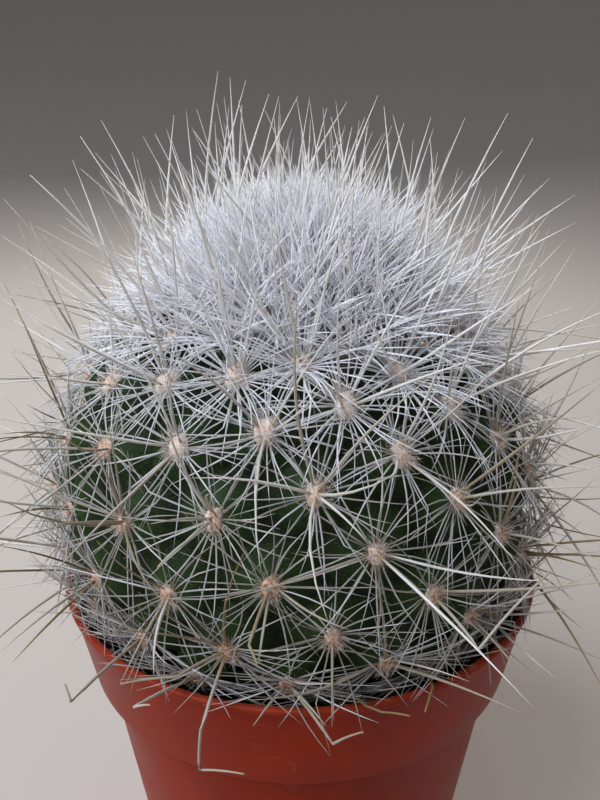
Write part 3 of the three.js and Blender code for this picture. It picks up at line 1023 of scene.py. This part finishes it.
CURVES = [(bend, sway) for bend in (0.02, 0.08, 0.15) for sway in (-0.05, -0.01, 0.03, 0.06)]
old_patterns = [make_pattern(RADIAL_WIDTH, RADIAL_SIDES, RADIAL_CUTS, *curve) for curve in CURVES]
young_patterns = [make_pattern(YOUNG_WIDTH, RADIAL_SIDES, RADIAL_CUTS, *curve) for curve in CURVES]
knocked_patterns = [
    make_pattern(RADIAL_WIDTH, RADIAL_SIDES, RADIAL_CUTS, *KNOCKED_CURVE, kink) for kink in KINKS
]


def radial_count(one):
    full = YOUNG_RADIAL_COUNT + (OLD_RADIAL_COUNT - YOUNG_RADIAL_COUNT) * aged_over(THINNING, one)
    return round(CROWN_RADIAL_COUNT + (full - CROWN_RADIAL_COUNT) * smooth_step(*COUNT_GROWS, one.size))


def radial_plants(one):
    """An areole's radials, each as a pattern, a matrix and a tone."""
    age, dull_and_shaded, count = aged_over(FOLDING, one), aged_over(DULLING_AND_SHADE, one), radial_count(one)
    plants = []
    for i in range(count):
        turn = (i + draw.uniform(-TURN_CHANCE, TURN_CHANCE)) * 2 * math.pi / count
        way = pulled_up(one, turn, math.radians(drawn_between(STANDING, LYING, age)), age)
        root = one.place + (one.way(turn, 0) * ROOT_OUT * one.size - one.facing * ROOT_IN) * MM
        length = (draw.triangular(*YOUNG_LENGTHS) * (1 - age) + draw.uniform(*OLD_LENGTHS) * age) * MM
        whole = young_patterns if draw.random() > age else old_patterns
        kind = draw.choice(knocked_patterns if draw.random() < KNOCKED_SHARE else whole)
        # older radials are painted darker, partly for age and partly as painted shade among the dense spines
        old_tone = BRIGHT_TONE if draw.random() < BRIGHT_SHARE else DULL_SHADED_TONE
        tone = drawn_between(FRESH_TONE, old_tone, dull_and_shaded)
        way = lifted(root, way, length, RADIAL_ROOM, over_rim=draw.random() < HANGING_SHARE)
        if way:
            plants.append((kind, planted(root, way, -one.facing, fitted_length(root, way, length)), tone))
    return plants


RADIAL_PIECES = (  # each with its first and last areole, so that no piece grows too big
    ("radial_spines_crown", YOUNGEST, 50),
    ("radial_spines_young", 51, 84),
    ("radial_spines_grown", 85, 120),
    ("radial_spines_old", 121, LAST_SPINY),
)
for name, first, last in RADIAL_PIECES:
    plants = [plant for one in areoles if first <= one.n <= last for plant in radial_plants(one)]
    plant_all(name, plants, radial_horn)

# %% [markdown]
# ## Broken and bowed spines
# Old centrals that were knocked, and hang crooked or snapped over the pot's rim, give this plant its own
# look, and a few long ones bow in front of the body. Chance would never draw them, so each is read off the
# photograph: the areole that it grows from, then its corners and its tip as pixels, each with a depth. The
# depth puts it in front of what it crosses, clear of the rim and the wall.

# %% Broken and bowed spines
BROKEN = (  # areole, then pixels with the depth in millimetres
    (152, (201, 730, -36.3), (199, 770, -35.2), (244, 774, -37.5)),
    (152, (176, 677, -35.5), (120, 684, -36)),
    (173, (134, 707, -35.5), (150, 705, -37)),
    (139, (120, 684, -37)),
    (160, (71, 702, -36), (65, 684, -34.5)),
    (147, (12, 663, -33)),
    (147, (0, 652, -38.5)),
    (136, (479, 649, -37.5), (551, 571, -36)),
    (149, (530, 686, -35)),
    (157, (537, 720, -38)),
    (162, (600, 659, -22)),
    (144, (332, 727, -38)),
    (165, (326, 726, -36)),
    (165, (333, 744, -37), (363, 732, -38.5)),
    (165, (329, 671, -32.5)),
    (165, (253, 726, -37)),
    (170, (433, 687, -31), (425, 712, -33.5)),
    (178, (356, 697, -30.9), (366, 706, -32.8), (381, 712, -33.8), (410, 716, -34.5)),
    (131, (249, 645, -41), (257, 664, -43)),
    (131, (259, 662, -42)),
    (118, (186, 542, -34), (158, 567, -38.5)),
    (118, (150, 524, -36.5)),
    (110, (366, 540, -38)),
    (110, (434, 374, -38)),
    (86, (600, 349, -20)),
    (78, (600, 339, -10)),
    (94, (600, 351, -27)),
    (115, (600, 487, -32)),
    (120, (600, 471, -24)),
    (128, (600, 560, -33.5)),
    (128, (500, 469, -25)),
    (141, (600, 570, -24)),
    (126, (109, 428, -30.5)),
    (134, (0, 517, -30)),
    (121, (0, 434, -24)),
)
BOWED = (  # areole, then the pixel and depth that pull the bow, and those of the tip
    (97, (247, 492, -35), (261, 573, -38)),
    (110, (250, 474, -34), (190, 478, -33)),
    (110, (352, 499, -35), (394, 475, -35)),
    (110, (298, 545, -40), (328, 622, -44.5)),
    (157, (386, 612, -34), (373, 563, -33)),
    (152, (214, 606, -34.5), (246, 549, -32.5)),
    (126, (110, 478, -30.5), (86, 432, -29.5)),
    (126, (128, 562, -33), (158, 597, -35)),
    (126, (58, 534, -34.5), (0, 499, -37.5)),
    (107, (545, 443, -26), (600, 422, -28.5)),
    (128, (518, 492, -26), (518, 455, -24.5)),
)
DRAWN_ALREADY = {n for n, *_ in BROKEN + BOWED}
print("broken", len(BROKEN), "bowed", len(BOWED), "from", len(DRAWN_ALREADY), "areoles")

# %% [markdown]
# ## Spines along a path
# Such a spine is a rod again, but its rings are laid along its path, a span of rings between each two
# places. Where the real spine broke, its path has a corner and its end stays blunt. A whole one is drawn
# to a point, and sags or bows a little.

# %% Spines along a path
BROKEN_WIDTH = 0.36 * MM
BLUNT, SHARP = 0.5, 0.12  # the tip's width, of the root's
PATH_SIDES, RINGS_A_SPAN, BOW_SPANS = 6, 6, 4
PATH_TAPER, PATH_ARCH = 1.8, 0.03
PLACED_TONE, OLDER_TONE, OLDER_OVER = (0.3, 0.75), 0.3, (55, 100)  # the last are polar angles


def bow(start, pull, end):
    """Places along a bow between two points, bent towards a third."""
    parts = [i / BOW_SPANS for i in range(BOW_SPANS + 1)]
    return [start * (1 - t) ** 2 + pull * (2 * t * (1 - t)) + end * t**2 for t in parts]


def spine_on_path(points, width, blunt, arch_height=PATH_ARCH):
    """A bmesh of one spine through points, and how far along it each vertex lies."""
    rings = (len(points) - 1) * RINGS_A_SPAN
    bm = cut_rod(PATH_SIDES, rings, rings - 1)
    along = []
    for vert in bm.verts:
        ring = round(vert.co.z)
        span = min(ring // RINGS_A_SPAN, len(points) - 2)
        way = points[span + 1] - points[span]
        part = ring / RINGS_A_SPAN - span
        aside = way.cross(UP).normalized()
        upward = aside.cross(way).normalized()
        taper = 1 - (1 - blunt) * (ring / rings) ** PATH_TAPER
        arch = upward * math.sin(math.pi * part) * arch_height * way.length
        vert.co = points[span] + way * part + arch + (aside * vert.co.x + upward * vert.co.y) * width * taper
        along.append(ring / rings)
    return bm, along


def make_placed_spines(name, spines):
    """One piece from a list of ((bmesh, along), tone)."""
    whole = bmesh.new()
    for (one_bm, _), _ in spines:
        mesh = as_pattern(one_bm)
        whole.from_mesh(mesh)
        bpy.data.meshes.remove(mesh)
    bmesh.ops.recalc_face_normals(whole, faces=whole.faces)
    piece = finish_piece(whole, name, central_horn, "cactus", ALL_SMOOTH)
    along = [one_along for (_, one_along), _ in spines]
    tones = [np.full(len(one_along), tone) for (_, one_along), tone in spines]
    keep_numbers(piece, {"along": along, "tone": tones})
    print(name, "placed", len(spines))


def placed_tone(one):
    return draw.uniform(*PLACED_TONE) + OLDER_TONE * aged_over(OLDER_OVER, one)


areole_named = {one.n: one for one in areoles}
placed = []
for n, *pixels in BROKEN:
    one = areole_named[n]
    points = [one.place] + [seen_at(*pixel) for pixel in pixels]
    end = BLUNT if len(points) > 2 else SHARP
    placed.append((spine_on_path(points, BROKEN_WIDTH, end), placed_tone(one)))
for n, pull, tip in BOWED:
    one = areole_named[n]
    points = bow(one.place, seen_at(*pull), seen_at(*tip))
    placed.append((spine_on_path(points, BROKEN_WIDTH, SHARP, arch_height=0), placed_tone(one)))
make_placed_spines("placed_spines", placed)

# %% [markdown]
# ## The crown's long tips
# The long centrals that stand out of the crown draw its outline. In the photograph only their outer part
# shows, so for each one the pixels of its tip and of a place lower down are read off, and the rest is
# solved: among the young areoles near that line, and the depths that the tip could have, the choice falls
# on a spine of the usual length that points the usual way, from an areole that has none yet.

# %% The crown's long tips
CROWN_TIPS = (  # the tip's pixel, then that of a place lower on the spine
    ((218, 71), (206, 152)), ((230, 78), (232, 127)), ((246, 80), (227, 142)), ((242, 105), (242, 167)),
    ((269, 94), (254, 160)), ((279, 96), (272, 137)), ((298, 96), (272, 156)), ((174, 115), (166, 190)),
    ((155, 134), (179, 194)), ((274, 117), (277, 171)), ((347, 102), (328, 140)), ((378, 95), (360, 152)),
    ((352, 127), (344, 175)), ((384, 106), (389, 179)), ((393, 115), (404, 182)), ((404, 123), (399, 148)),
    ((431, 117), (418, 190)), ((430, 137), (435, 232)), ((331, 117), (343, 177)), ((194, 131), (223, 182)),
    ((365, 117), (349, 175)), ((327, 108), (319, 152)), ((533, 138), (510, 205)), ((508, 113), (482, 190)),
    ((465, 118), (447, 190)), ((575, 195), (500, 255)), ((550, 178), (480, 255)), ((101, 120), (140, 205)),
    ((80, 136), (130, 215)), ((30, 175), (100, 245)),
)  # fmt: skip
CROWN_TIP_WIDTH, CROWN_TIP_TONE = 0.46 * MM, (0.05, 0.3)
CROWN_AREOLES = range(96)
SHORTEST_TIP, USUAL_TIP, LONGEST_TIP = 14.5 * MM, 19 * MM, 25.5 * MM
MOST_OFF_LINE, LEAST_RAISED = math.radians(7), math.radians(30)
TIP_PULL, TIP_DEPTHS = 0.55, range(-32, 26)
WAY_DOUBT, LINE_DOUBT, TAKEN_DOUBT = 0.5, 3, 6  # for a degree off the way or the line, and a spine taken


def crown_spine(tip_pixel, low_pixel, taken):
    """The areole and the tip of the likeliest spine on the line of two pixels."""
    line = Vector(low_pixel) - Vector(tip_pixel)
    choices = []
    for one in areoles:
        to_root = pixel_of(one.place) - Vector(tip_pixel)
        off_line = to_root.angle(line)
        if one.n not in CROWN_AREOLES or off_line > MOST_OFF_LINE or to_root.length < line.length:
            continue
        usual_way = one.facing + UP * TIP_PULL
        for depth in TIP_DEPTHS:
            tip = seen_at(*tip_pixel, depth)
            way = tip - one.place
            if SHORTEST_TIP < way.length < LONGEST_TIP and way.angle(one.facing) < math.pi / 2 - LEAST_RAISED:
                doubt = math.degrees(way.angle(usual_way) * WAY_DOUBT + off_line * LINE_DOUBT)
                doubt += abs(way.length - USUAL_TIP) / MM + TAKEN_DOUBT * taken.count(one.n)
                choices.append((doubt, one, tip))
    return min(choices, key=lambda choice: choice[0])[1:]


tall, taken = [], []
for pixels in CROWN_TIPS:
    one, tip = crown_spine(*pixels, taken)
    taken.append(one.n)
    tall.append(spine_on_path([one.place, tip], CROWN_TIP_WIDTH, SHARP))
make_placed_spines("crown_tips", [(spine, draw.uniform(*CROWN_TIP_TONE)) for spine in tall])
print("crown tips grow from", len(set(taken)), "areoles")

# %% [markdown]
# ## Central spines
# Up to four centrals stand out of each areole, nearly twice as thick and twice as long as the radials, cream
# when young and straw-coloured when old. They spread like a loose cross. In the crown they stand nearly
# upright. Where the spines are drawn above, chance adds none that hang down, in front or at the side.

# %% Central spines
CENTRAL_WIDTH, CROWN_CENTRAL_WIDTH = 0.0185, 0.0205  # of the length
CENTRAL_FULLNESS, CROWN_FULLNESS = 1.8, 1.6
CENTRAL_SIDES, CENTRAL_CUTS = 6, 7
MATURING, NEWBORN = (25, 80), (0, 10)  # polar angles
CENTRAL_COUNT, CROWN_CENTRAL_COUNT = 4, 1
CENTRALS_GROW = (0.3, 0.8)  # an areole's size where it has one, and where it has all four
CENTRAL_TURN_CHANCE = 0.3  # of the step between two spines
RISEN, SPREAD = (42, 88), (20, 70)  # degrees from the skin, young and old
NEW_LENGTHS, GROWN_LENGTHS = (14, 22.5), (13, 23)  # mm
NEWBORN_LENGTH = 0.85  # of the full length, right at the tip
CREAM_TONE, STRAW_TONE = (0, 0.3), (0.25, 1.0)
CENTRAL_ROOT = 0.3  # mm from the areole's middle, and into the skin
CROWN_SHAPED = 0.3  # the age up to which a spine has a crown pattern
LEAST_RISE = 0.25  # of the way of a spine, where other spines are drawn already
LEAST_FRONT_RISE = -0.25  # the same for the rest of the front, whose hanging spines are all drawn
LOW_POLAR, FRONT_FACING = math.radians(108), -0.35  # the front's lowest spines are all drawn above

SHAPES = [(bend, sway) for bend in (-0.03, 0.03, 0.1) for sway in (-0.04, 0.01, 0.05)]
STRAIGHTER = [(bend / 3, sway / 2) for bend, sway in SHAPES]
central_patterns = [
    make_pattern(CENTRAL_WIDTH, CENTRAL_SIDES, CENTRAL_CUTS, *shape, fullness=CENTRAL_FULLNESS)
    for shape in SHAPES
]
crown_patterns = [
    make_pattern(CROWN_CENTRAL_WIDTH, CENTRAL_SIDES, CENTRAL_CUTS, *shape, fullness=CROWN_FULLNESS)
    for shape in STRAIGHTER
]


def is_drawn_already(one, way):
    """Whether spines that leave an areole this way are all among those drawn above."""
    in_front = one.facing.y < FRONT_FACING
    if in_front and (one.polar > LOW_POLAR or way.z < LEAST_FRONT_RISE):
        return True
    return one.n in DRAWN_ALREADY and way.z < LEAST_RISE


def central_plants(one):
    """An areole's centrals, each as a pattern, a matrix and a tone."""
    age = aged_over(MATURING, one)
    full_length = NEWBORN_LENGTH + (1 - NEWBORN_LENGTH) * aged_over(NEWBORN, one)
    more = (CENTRAL_COUNT - CROWN_CENTRAL_COUNT) * smooth_step(*CENTRALS_GROW, one.size)
    count = round(CROWN_CENTRAL_COUNT + more)
    start = draw.uniform(0, 2 * math.pi)
    plants = []
    for i in range(count):
        chance = draw.uniform(-CENTRAL_TURN_CHANCE, CENTRAL_TURN_CHANCE)
        turn = start + (i + chance) * 2 * math.pi / count
        way = pulled_up(one, turn, math.radians(drawn_between(RISEN, SPREAD, age)), age)
        if is_drawn_already(one, way):
            continue
        root = one.place + (one.way(turn, 0) * CENTRAL_ROOT * one.size - one.facing * CENTRAL_ROOT) * MM
        length = drawn_between(NEW_LENGTHS, GROWN_LENGTHS, age) * MM * full_length
        kind = draw.choice(central_patterns if age > CROWN_SHAPED else crown_patterns)
        tone = drawn_between(CREAM_TONE, STRAW_TONE, age)
        way = lifted(root, way, length, CENTRAL_ROOM)
        if way:
            plants.append((kind, planted(root, way, -one.facing, fitted_length(root, way, length)), tone))
    return plants


CENTRAL_PIECES = (("central_spines_young", YOUNGEST, 92), ("central_spines_old", 93, LAST_SPINY))
for name, first, last in CENTRAL_PIECES:
    plants = [plant for one in areoles if first <= one.n <= last for plant in central_plants(one)]
    plant_all(name, plants, central_horn)

# %% [markdown]
# ## Felt of the areoles
# The wool is cream when it is new, and turns tan round the roots of the spines and with age. It is matt and
# soft, because light goes in between its hairs and comes out again, which sheen and a little subsurface
# scattering give. A noise of 0.3 mm makes clumps. The same two numbers as on the spines drive the colour.

# %% Felt of the areoles
def felted_wool():
    material, tree = new_material("felted areole wool")
    place = add_node(tree, "ShaderNodeTexCoord").outputs["Object"]
    tone = add_node(tree, "ShaderNodeAttribute", attribute_name="tone").outputs["Fac"]
    along = add_node(tree, "ShaderNodeAttribute", attribute_name="along").outputs["Fac"]
    speck = add_node(tree, "ShaderNodeTexNoise", {"Vector": place, "Scale": 1 / (0.32 * MM), "Detail": 3})
    spread = add_node(
        tree,
        "ShaderNodeMapRange",
        {"Value": speck.outputs["Fac"], "From Min": 0.36, "From Max": 0.64, "To Min": 0, "To Max": 1},
    )
    rooted = add_node(tree, "ShaderNodeMath", {0: along, 1: -0.3, 2: tone}, operation="MULTIPLY_ADD")
    mixed = add_node(
        tree,
        "ShaderNodeMath",
        {0: spread.outputs["Result"], 1: 0.55, 2: rooted.outputs[0]},
        operation="MULTIPLY_ADD",
    )
    colour = add_node(tree, "ShaderNodeValToRGB", {"Fac": mixed.outputs[0]})
    colour.color_ramp.elements[0].position = 0.1
    colour.color_ramp.elements[0].color = linear("#eee7de")
    colour.color_ramp.elements[1].position = 0.95
    colour.color_ramp.elements[1].color = linear("#b67d55")
    middle = colour.color_ramp.elements.new(0.55)
    middle.color = linear("#e4c8b2")
    bump = add_node(
        tree, "ShaderNodeBump", {"Height": speck.outputs["Fac"], "Distance": 0.12 * MM, "Strength": 0.8}
    )
    wool = add_node(
        tree,
        "ShaderNodeBsdfPrincipled",
        {
            "Base Color": colour.outputs["Color"],
            "Roughness": 0.9,
            "Sheen Weight": 0.5,
            "Sheen Roughness": 0.4,
            "Subsurface Weight": 0.3,
            "Subsurface Radius": (1.0, 0.8, 0.6),
            "Subsurface Scale": 0.3 * MM,
            "Normal": bump.outputs["Normal"],
        },
    )
    finish_material(tree, wool)
    return material


wool_material = felted_wool()
print(wool_material.name, "has", len(wool_material.node_tree.nodes), "nodes")

# %% [markdown]
# ## Areole wool
# An areole is a felt cushion, 2 mm wide and a little taller. Felt is a dense core with loose hairs on it, so
# it is made of both: a squashed ball of forty faces pushed about by noise, and about a hundred curved hairs
# on a full-grown one, about 0.1 mm thick. Real wool hairs are a quarter of that or less, which is too fine
# to show, so these are coarser. Young wool is fuller and paler.

# %% Areole wool
WOOL_WIDE, WOOL_TALL, WOOL_DEEP = 0.98 * MM, 1.26 * MM, 0.65 * MM  # from the middle
FRESH_FLUFF = 0.4  # young wool is this much fuller
DRYING, TANNING = (38, 75), (75, 115)  # polar angles
FRESH_PALE, OLD_TAN = 0.3, 0.25  # what youth takes from the tone, and what age adds to it
CUSHION_TONE, HAIR_TONE = (0.05, 0.25), (0.05, 0.45)
HAIR_WIDTH, HAIR_FULLNESS, HAIR_SIDES, HAIR_CUTS = 0.075, 1.5, 3, 1  # the width is of the length
HAIR_COUNT, HAIR_LENGTHS, LEAST_FLUFF = 100, (0.6, 1.35), 0.5
HAIR_RAISED = (0, 85, 15)  # degrees from the skin: the least, the most and the commonest
HAIR_EDGE, HAIR_HEIGHT = 0.85, 0.8  # hairs start a little inside the cushion
CUSHION_LUMPS, LUMP_RATE = 0.3, 2.3
CUSHION_SIDES, CUSHION_RINGS = 8, 5
HAIR_BENDS = ((0.35, 0.12), (0.7, -0.2), (-0.25, 0.25))
OLD_FELT = 120  # the hairs are two pieces, cut at this place in the list


def make_cushion_pattern():
    bm = bmesh.new()
    bmesh.ops.create_uvsphere(bm, u_segments=CUSHION_SIDES, v_segments=CUSHION_RINGS, radius=1)
    for vert in bm.verts:
        vert.co *= 1 + CUSHION_LUMPS * noise.noise(vert.co * LUMP_RATE)
    # an areole's axes are left-handed and mirror each copy, so the faces that end up outside start inside
    bmesh.ops.reverse_faces(bm, faces=bm.faces)
    return as_pattern(bm)


cushion_pattern = make_cushion_pattern()
hair_patterns = [
    make_pattern(HAIR_WIDTH, HAIR_SIDES, HAIR_CUTS, bend, sway, fullness=HAIR_FULLNESS)
    for bend, sway in HAIR_BENDS
]


def felt_plants(one):
    """A cushion and its hairs, each as a pattern, a matrix and a tone."""
    fresh = 1 - aged_over(DRYING, one)
    fluff = one.size + FRESH_FLUFF * fresh
    axes = Matrix((one.aside, one.rise, one.facing)).transposed().to_4x4()
    size = Matrix.Diagonal((WOOL_WIDE, WOOL_TALL, WOOL_DEEP, 1)) @ Matrix.Scale(fluff, 4)
    # upside down, so that along falls towards its top and the middle comes out tan
    turned = Matrix.Rotation(draw.uniform(0, 2 * math.pi), 4, "Z") @ Matrix.Rotation(math.pi, 4, "X")
    aged = OLD_TAN * aged_over(TANNING, one) - FRESH_PALE * fresh
    matrix = Matrix.Translation(one.place) @ axes @ size @ turned
    cushion = (cushion_pattern, matrix, draw.uniform(*CUSHION_TONE) + aged)
    hairs = []
    for _ in range(round(HAIR_COUNT * one.size)):
        turn = draw.uniform(0, 2 * math.pi)
        raised = math.radians(draw.triangular(*HAIR_RAISED))
        edge = Vector((math.sin(turn) * WOOL_WIDE, math.cos(turn) * WOOL_TALL)) * math.cos(raised)
        root = one.place + (one.aside * edge.x + one.rise * edge.y) * HAIR_EDGE * fluff
        root += one.facing * math.sin(raised) * WOOL_DEEP * HAIR_HEIGHT * fluff
        length = draw.uniform(*HAIR_LENGTHS) * MM * max(LEAST_FLUFF, fluff)
        matrix = planted(root, one.way(turn, raised), -one.facing, length)
        hairs.append((draw.choice(hair_patterns), matrix, draw.uniform(*HAIR_TONE) + aged))
    return cushion, hairs


felt = [felt_plants(one) for one in areoles if one.n <= LAST_SPINY]
plant_all("areole_cushions", [cushion for cushion, _ in felt], wool_material)
for name, some in (("areole_hairs_young", felt[:OLD_FELT]), ("areole_hairs_old", felt[OLD_FELT:])):
    plant_all(name, [hair for _, hairs in some for hair in hairs], wool_material)

# %% [markdown]
# ## Peat and grit
# Nursery peat is nearly black, with brown crumbs that swallow the light, and the grit mixed into it is a
# pale, dull stone. Both are matt. The peat's noise has crumbs of about 1 mm, and drives the bump as well,
# so that what is raised is also what is lighter.

# %% Peat and grit
def crumbly_peat():
    material, tree = new_material("crumbly peat")
    place = add_node(tree, "ShaderNodeTexCoord").outputs["Object"]
    crumbs = add_node(
        tree, "ShaderNodeTexNoise", {"Vector": place, "Scale": 1 / (1.1 * MM), "Detail": 6, "Roughness": 0.65}
    )
    colour = add_node(tree, "ShaderNodeValToRGB", {"Fac": crumbs.outputs["Fac"]})
    colour.color_ramp.elements[0].position = 0.35
    colour.color_ramp.elements[0].color = linear("#0f0b08")
    colour.color_ramp.elements[1].position = 0.75
    colour.color_ramp.elements[1].color = linear("#3a2a1e")
    bump = add_node(
        tree, "ShaderNodeBump", {"Height": crumbs.outputs["Fac"], "Distance": 0.5 * MM, "Strength": 0.8}
    )
    peat = add_node(
        tree,
        "ShaderNodeBsdfPrincipled",
        {
            "Base Color": colour.outputs["Color"],
            "Roughness": 0.95,
            "Specular IOR Level": 0.2,
            "Normal": bump.outputs["Normal"],
        },
    )
    finish_material(tree, peat)
    return material


def pale_grit():
    material, tree = new_material("pale grit")
    place = add_node(tree, "ShaderNodeTexCoord").outputs["Object"]
    cloud = add_node(tree, "ShaderNodeTexNoise", {"Vector": place, "Scale": 1 / (0.6 * MM), "Detail": 3})
    colour = add_node(
        tree,
        "ShaderNodeMix",
        {0: cloud.outputs["Fac"], 6: linear("#8d8171"), 7: linear("#d8d0c2")},
        data_type="RGBA",
    )
    grit = add_node(
        tree, "ShaderNodeBsdfPrincipled", {"Base Color": colour.outputs[2], "Roughness": 0.6, "IOR": 1.54}
    )
    finish_material(tree, grit)
    return material


peat_material, grit_material = crumbly_peat(), pale_grit()
print("soil materials", peat_material.name, "and", grit_material.name)

# %% [markdown]
# ## Bed of soil
# The soil fills the pot to a few millimetres under its rim. Its bed is turned on the same axis as the pot,
# with rings close enough for a noise to raise crumbs in its top. The plant's seat is cut out of it by a
# Boolean with a slightly larger body, so that nothing of the soil is hidden inside the plant.

# %% Bed of soil
SOIL_BOTTOM = soil_low.z / MM
SOIL_LEVEL = SOIL_TOP - 0.6
SOIL_EASE = 0.35  # mm clear of the pot's wall
SEAT_ROOM, SEAT_SUBDIVISIONS = 1.1 * MM, 5
BED_RINGS = 34
BED_CRUMBS = ((2.2, 0.45), (0.9, 0.25))  # width and height in mm, coarse and fine
SAME_LEVEL = 0.01 * MM
BED_CREASE = math.radians(60)


def make_soil():
    top_edge = pot_radius(SOIL_LEVEL) - WALL - SOIL_EASE
    rings = [top_edge * i / BED_RINGS for i in range(1, BED_RINGS + 1)]
    profile = [
        (0, SOIL_BOTTOM),
        (pot_radius(SOIL_BOTTOM) - WALL - SOIL_EASE, SOIL_BOTTOM),
        (SHOULDER_RADIUS - WALL - SOIL_EASE, SHOULDER),
        (COLLAR_FOOT_RADIUS - WALL - SOIL_EASE, COLLAR_FOOT),
    ]
    profile += [(radius, SOIL_LEVEL) for radius in reversed(rings)] + [(0, SOIL_LEVEL)]
    bm = spun(profile)
    for vert in bm.verts:
        if abs(vert.co.z - SOIL_LEVEL * MM) < SAME_LEVEL:
            place = vert.co.copy()
            vert.co.z += sum(noise.noise(place / (width * MM)) * height for width, height in BED_CRUMBS) * MM
    return finish_piece(bm, "soil_bed", peat_material, "soil", BED_CREASE)


def seat_cutter():
    bm = bmesh.new()
    bmesh.ops.create_icosphere(bm, subdivisions=SEAT_SUBDIVISIONS, radius=1)
    for vert in bm.verts:
        place, _ = skin(vert.co.copy(), SEAT_ROOM)
        vert.co = PLANT @ drawn_to_root(place, ROOT_RADIUS + SEAT_ROOM)
    return bm


soil = make_soil()
cut_away(soil, seat_cutter())
print("faces of the soil with its seat", len(soil.data.polygons))

# %% [markdown]
# ## Crumbs and grit
# Loose crumbs and a few pale grains lie on the soil wherever the ring between plant and pot is open. Each is
# a copy of one lumpy ball of twenty faces, turned and squashed by chance, and sunk a little into the bed.

# %% Crumbs and grit
CRUMB_COUNT, CRUMB_SIZES = 420, (0.5, 1.7)  # mm
GRAIN_COUNT, GRAIN_SIZES = 26, (0.4, 1.2)  # mm
OPEN_FROM = 23.6  # mm from the pot's axis, where the plant leaves the soil open
HEIGHT_ON_BED = 0.35  # of half a crumb's size
LUMPS, LUMPS_RATE, LUMPS_FROM = 0.5, 3.1, Vector((4, 2, 7))
FLAT, FLATTER = (0.6, 1), (0.5, 0.9)  # how far two of its sides are squashed
CRUMB_CREASE = math.radians(40)


def make_crumb_pattern():
    bm = bmesh.new()
    bmesh.ops.create_icosphere(bm, subdivisions=1, radius=0.5)
    for vert in bm.verts:
        vert.co *= 1 + LUMPS * noise.noise(vert.co * LUMPS_RATE + LUMPS_FROM)
    return as_pattern(bm)


def strewn_place(size):
    """A place on the open ring of soil, for a thing that reaches this far from its middle."""
    turn = draw.uniform(0, 2 * math.pi)
    out = draw.uniform(OPEN_FROM + size, pot_radius(SOIL_LEVEL) - WALL - SOIL_EASE - size)
    return Vector((out * math.cos(turn), out * math.sin(turn), SOIL_LEVEL + size * HEIGHT_ON_BED)) * MM


def strew(name, count, sizes, pattern, material):
    bm = bmesh.new()
    for _ in range(count):
        size = draw.uniform(*sizes)
        place = strewn_place(size / 2)
        turns = Vector([draw.gauss(0, 1) for _ in range(4)])  # about X, Y and Z, and one to spare
        squash = Matrix.Diagonal((1, draw.uniform(*FLAT), draw.uniform(*FLATTER), 1))
        turned = Matrix()
        for turn, axis in zip(turns, "XYZ"):
            turned = turned @ Matrix.Rotation(turn, 4, axis)
        add_copy(bm, pattern, Matrix.Translation(place) @ turned @ squash @ Matrix.Scale(size * MM, 4))
    finish_piece(bm, name, material, "soil", CRUMB_CREASE)


crumb_pattern = make_crumb_pattern()
strew("soil_crumbs", CRUMB_COUNT, CRUMB_SIZES, crumb_pattern, peat_material)
strew("soil_grit", GRAIN_COUNT, GRAIN_SIZES, crumb_pattern, grit_material)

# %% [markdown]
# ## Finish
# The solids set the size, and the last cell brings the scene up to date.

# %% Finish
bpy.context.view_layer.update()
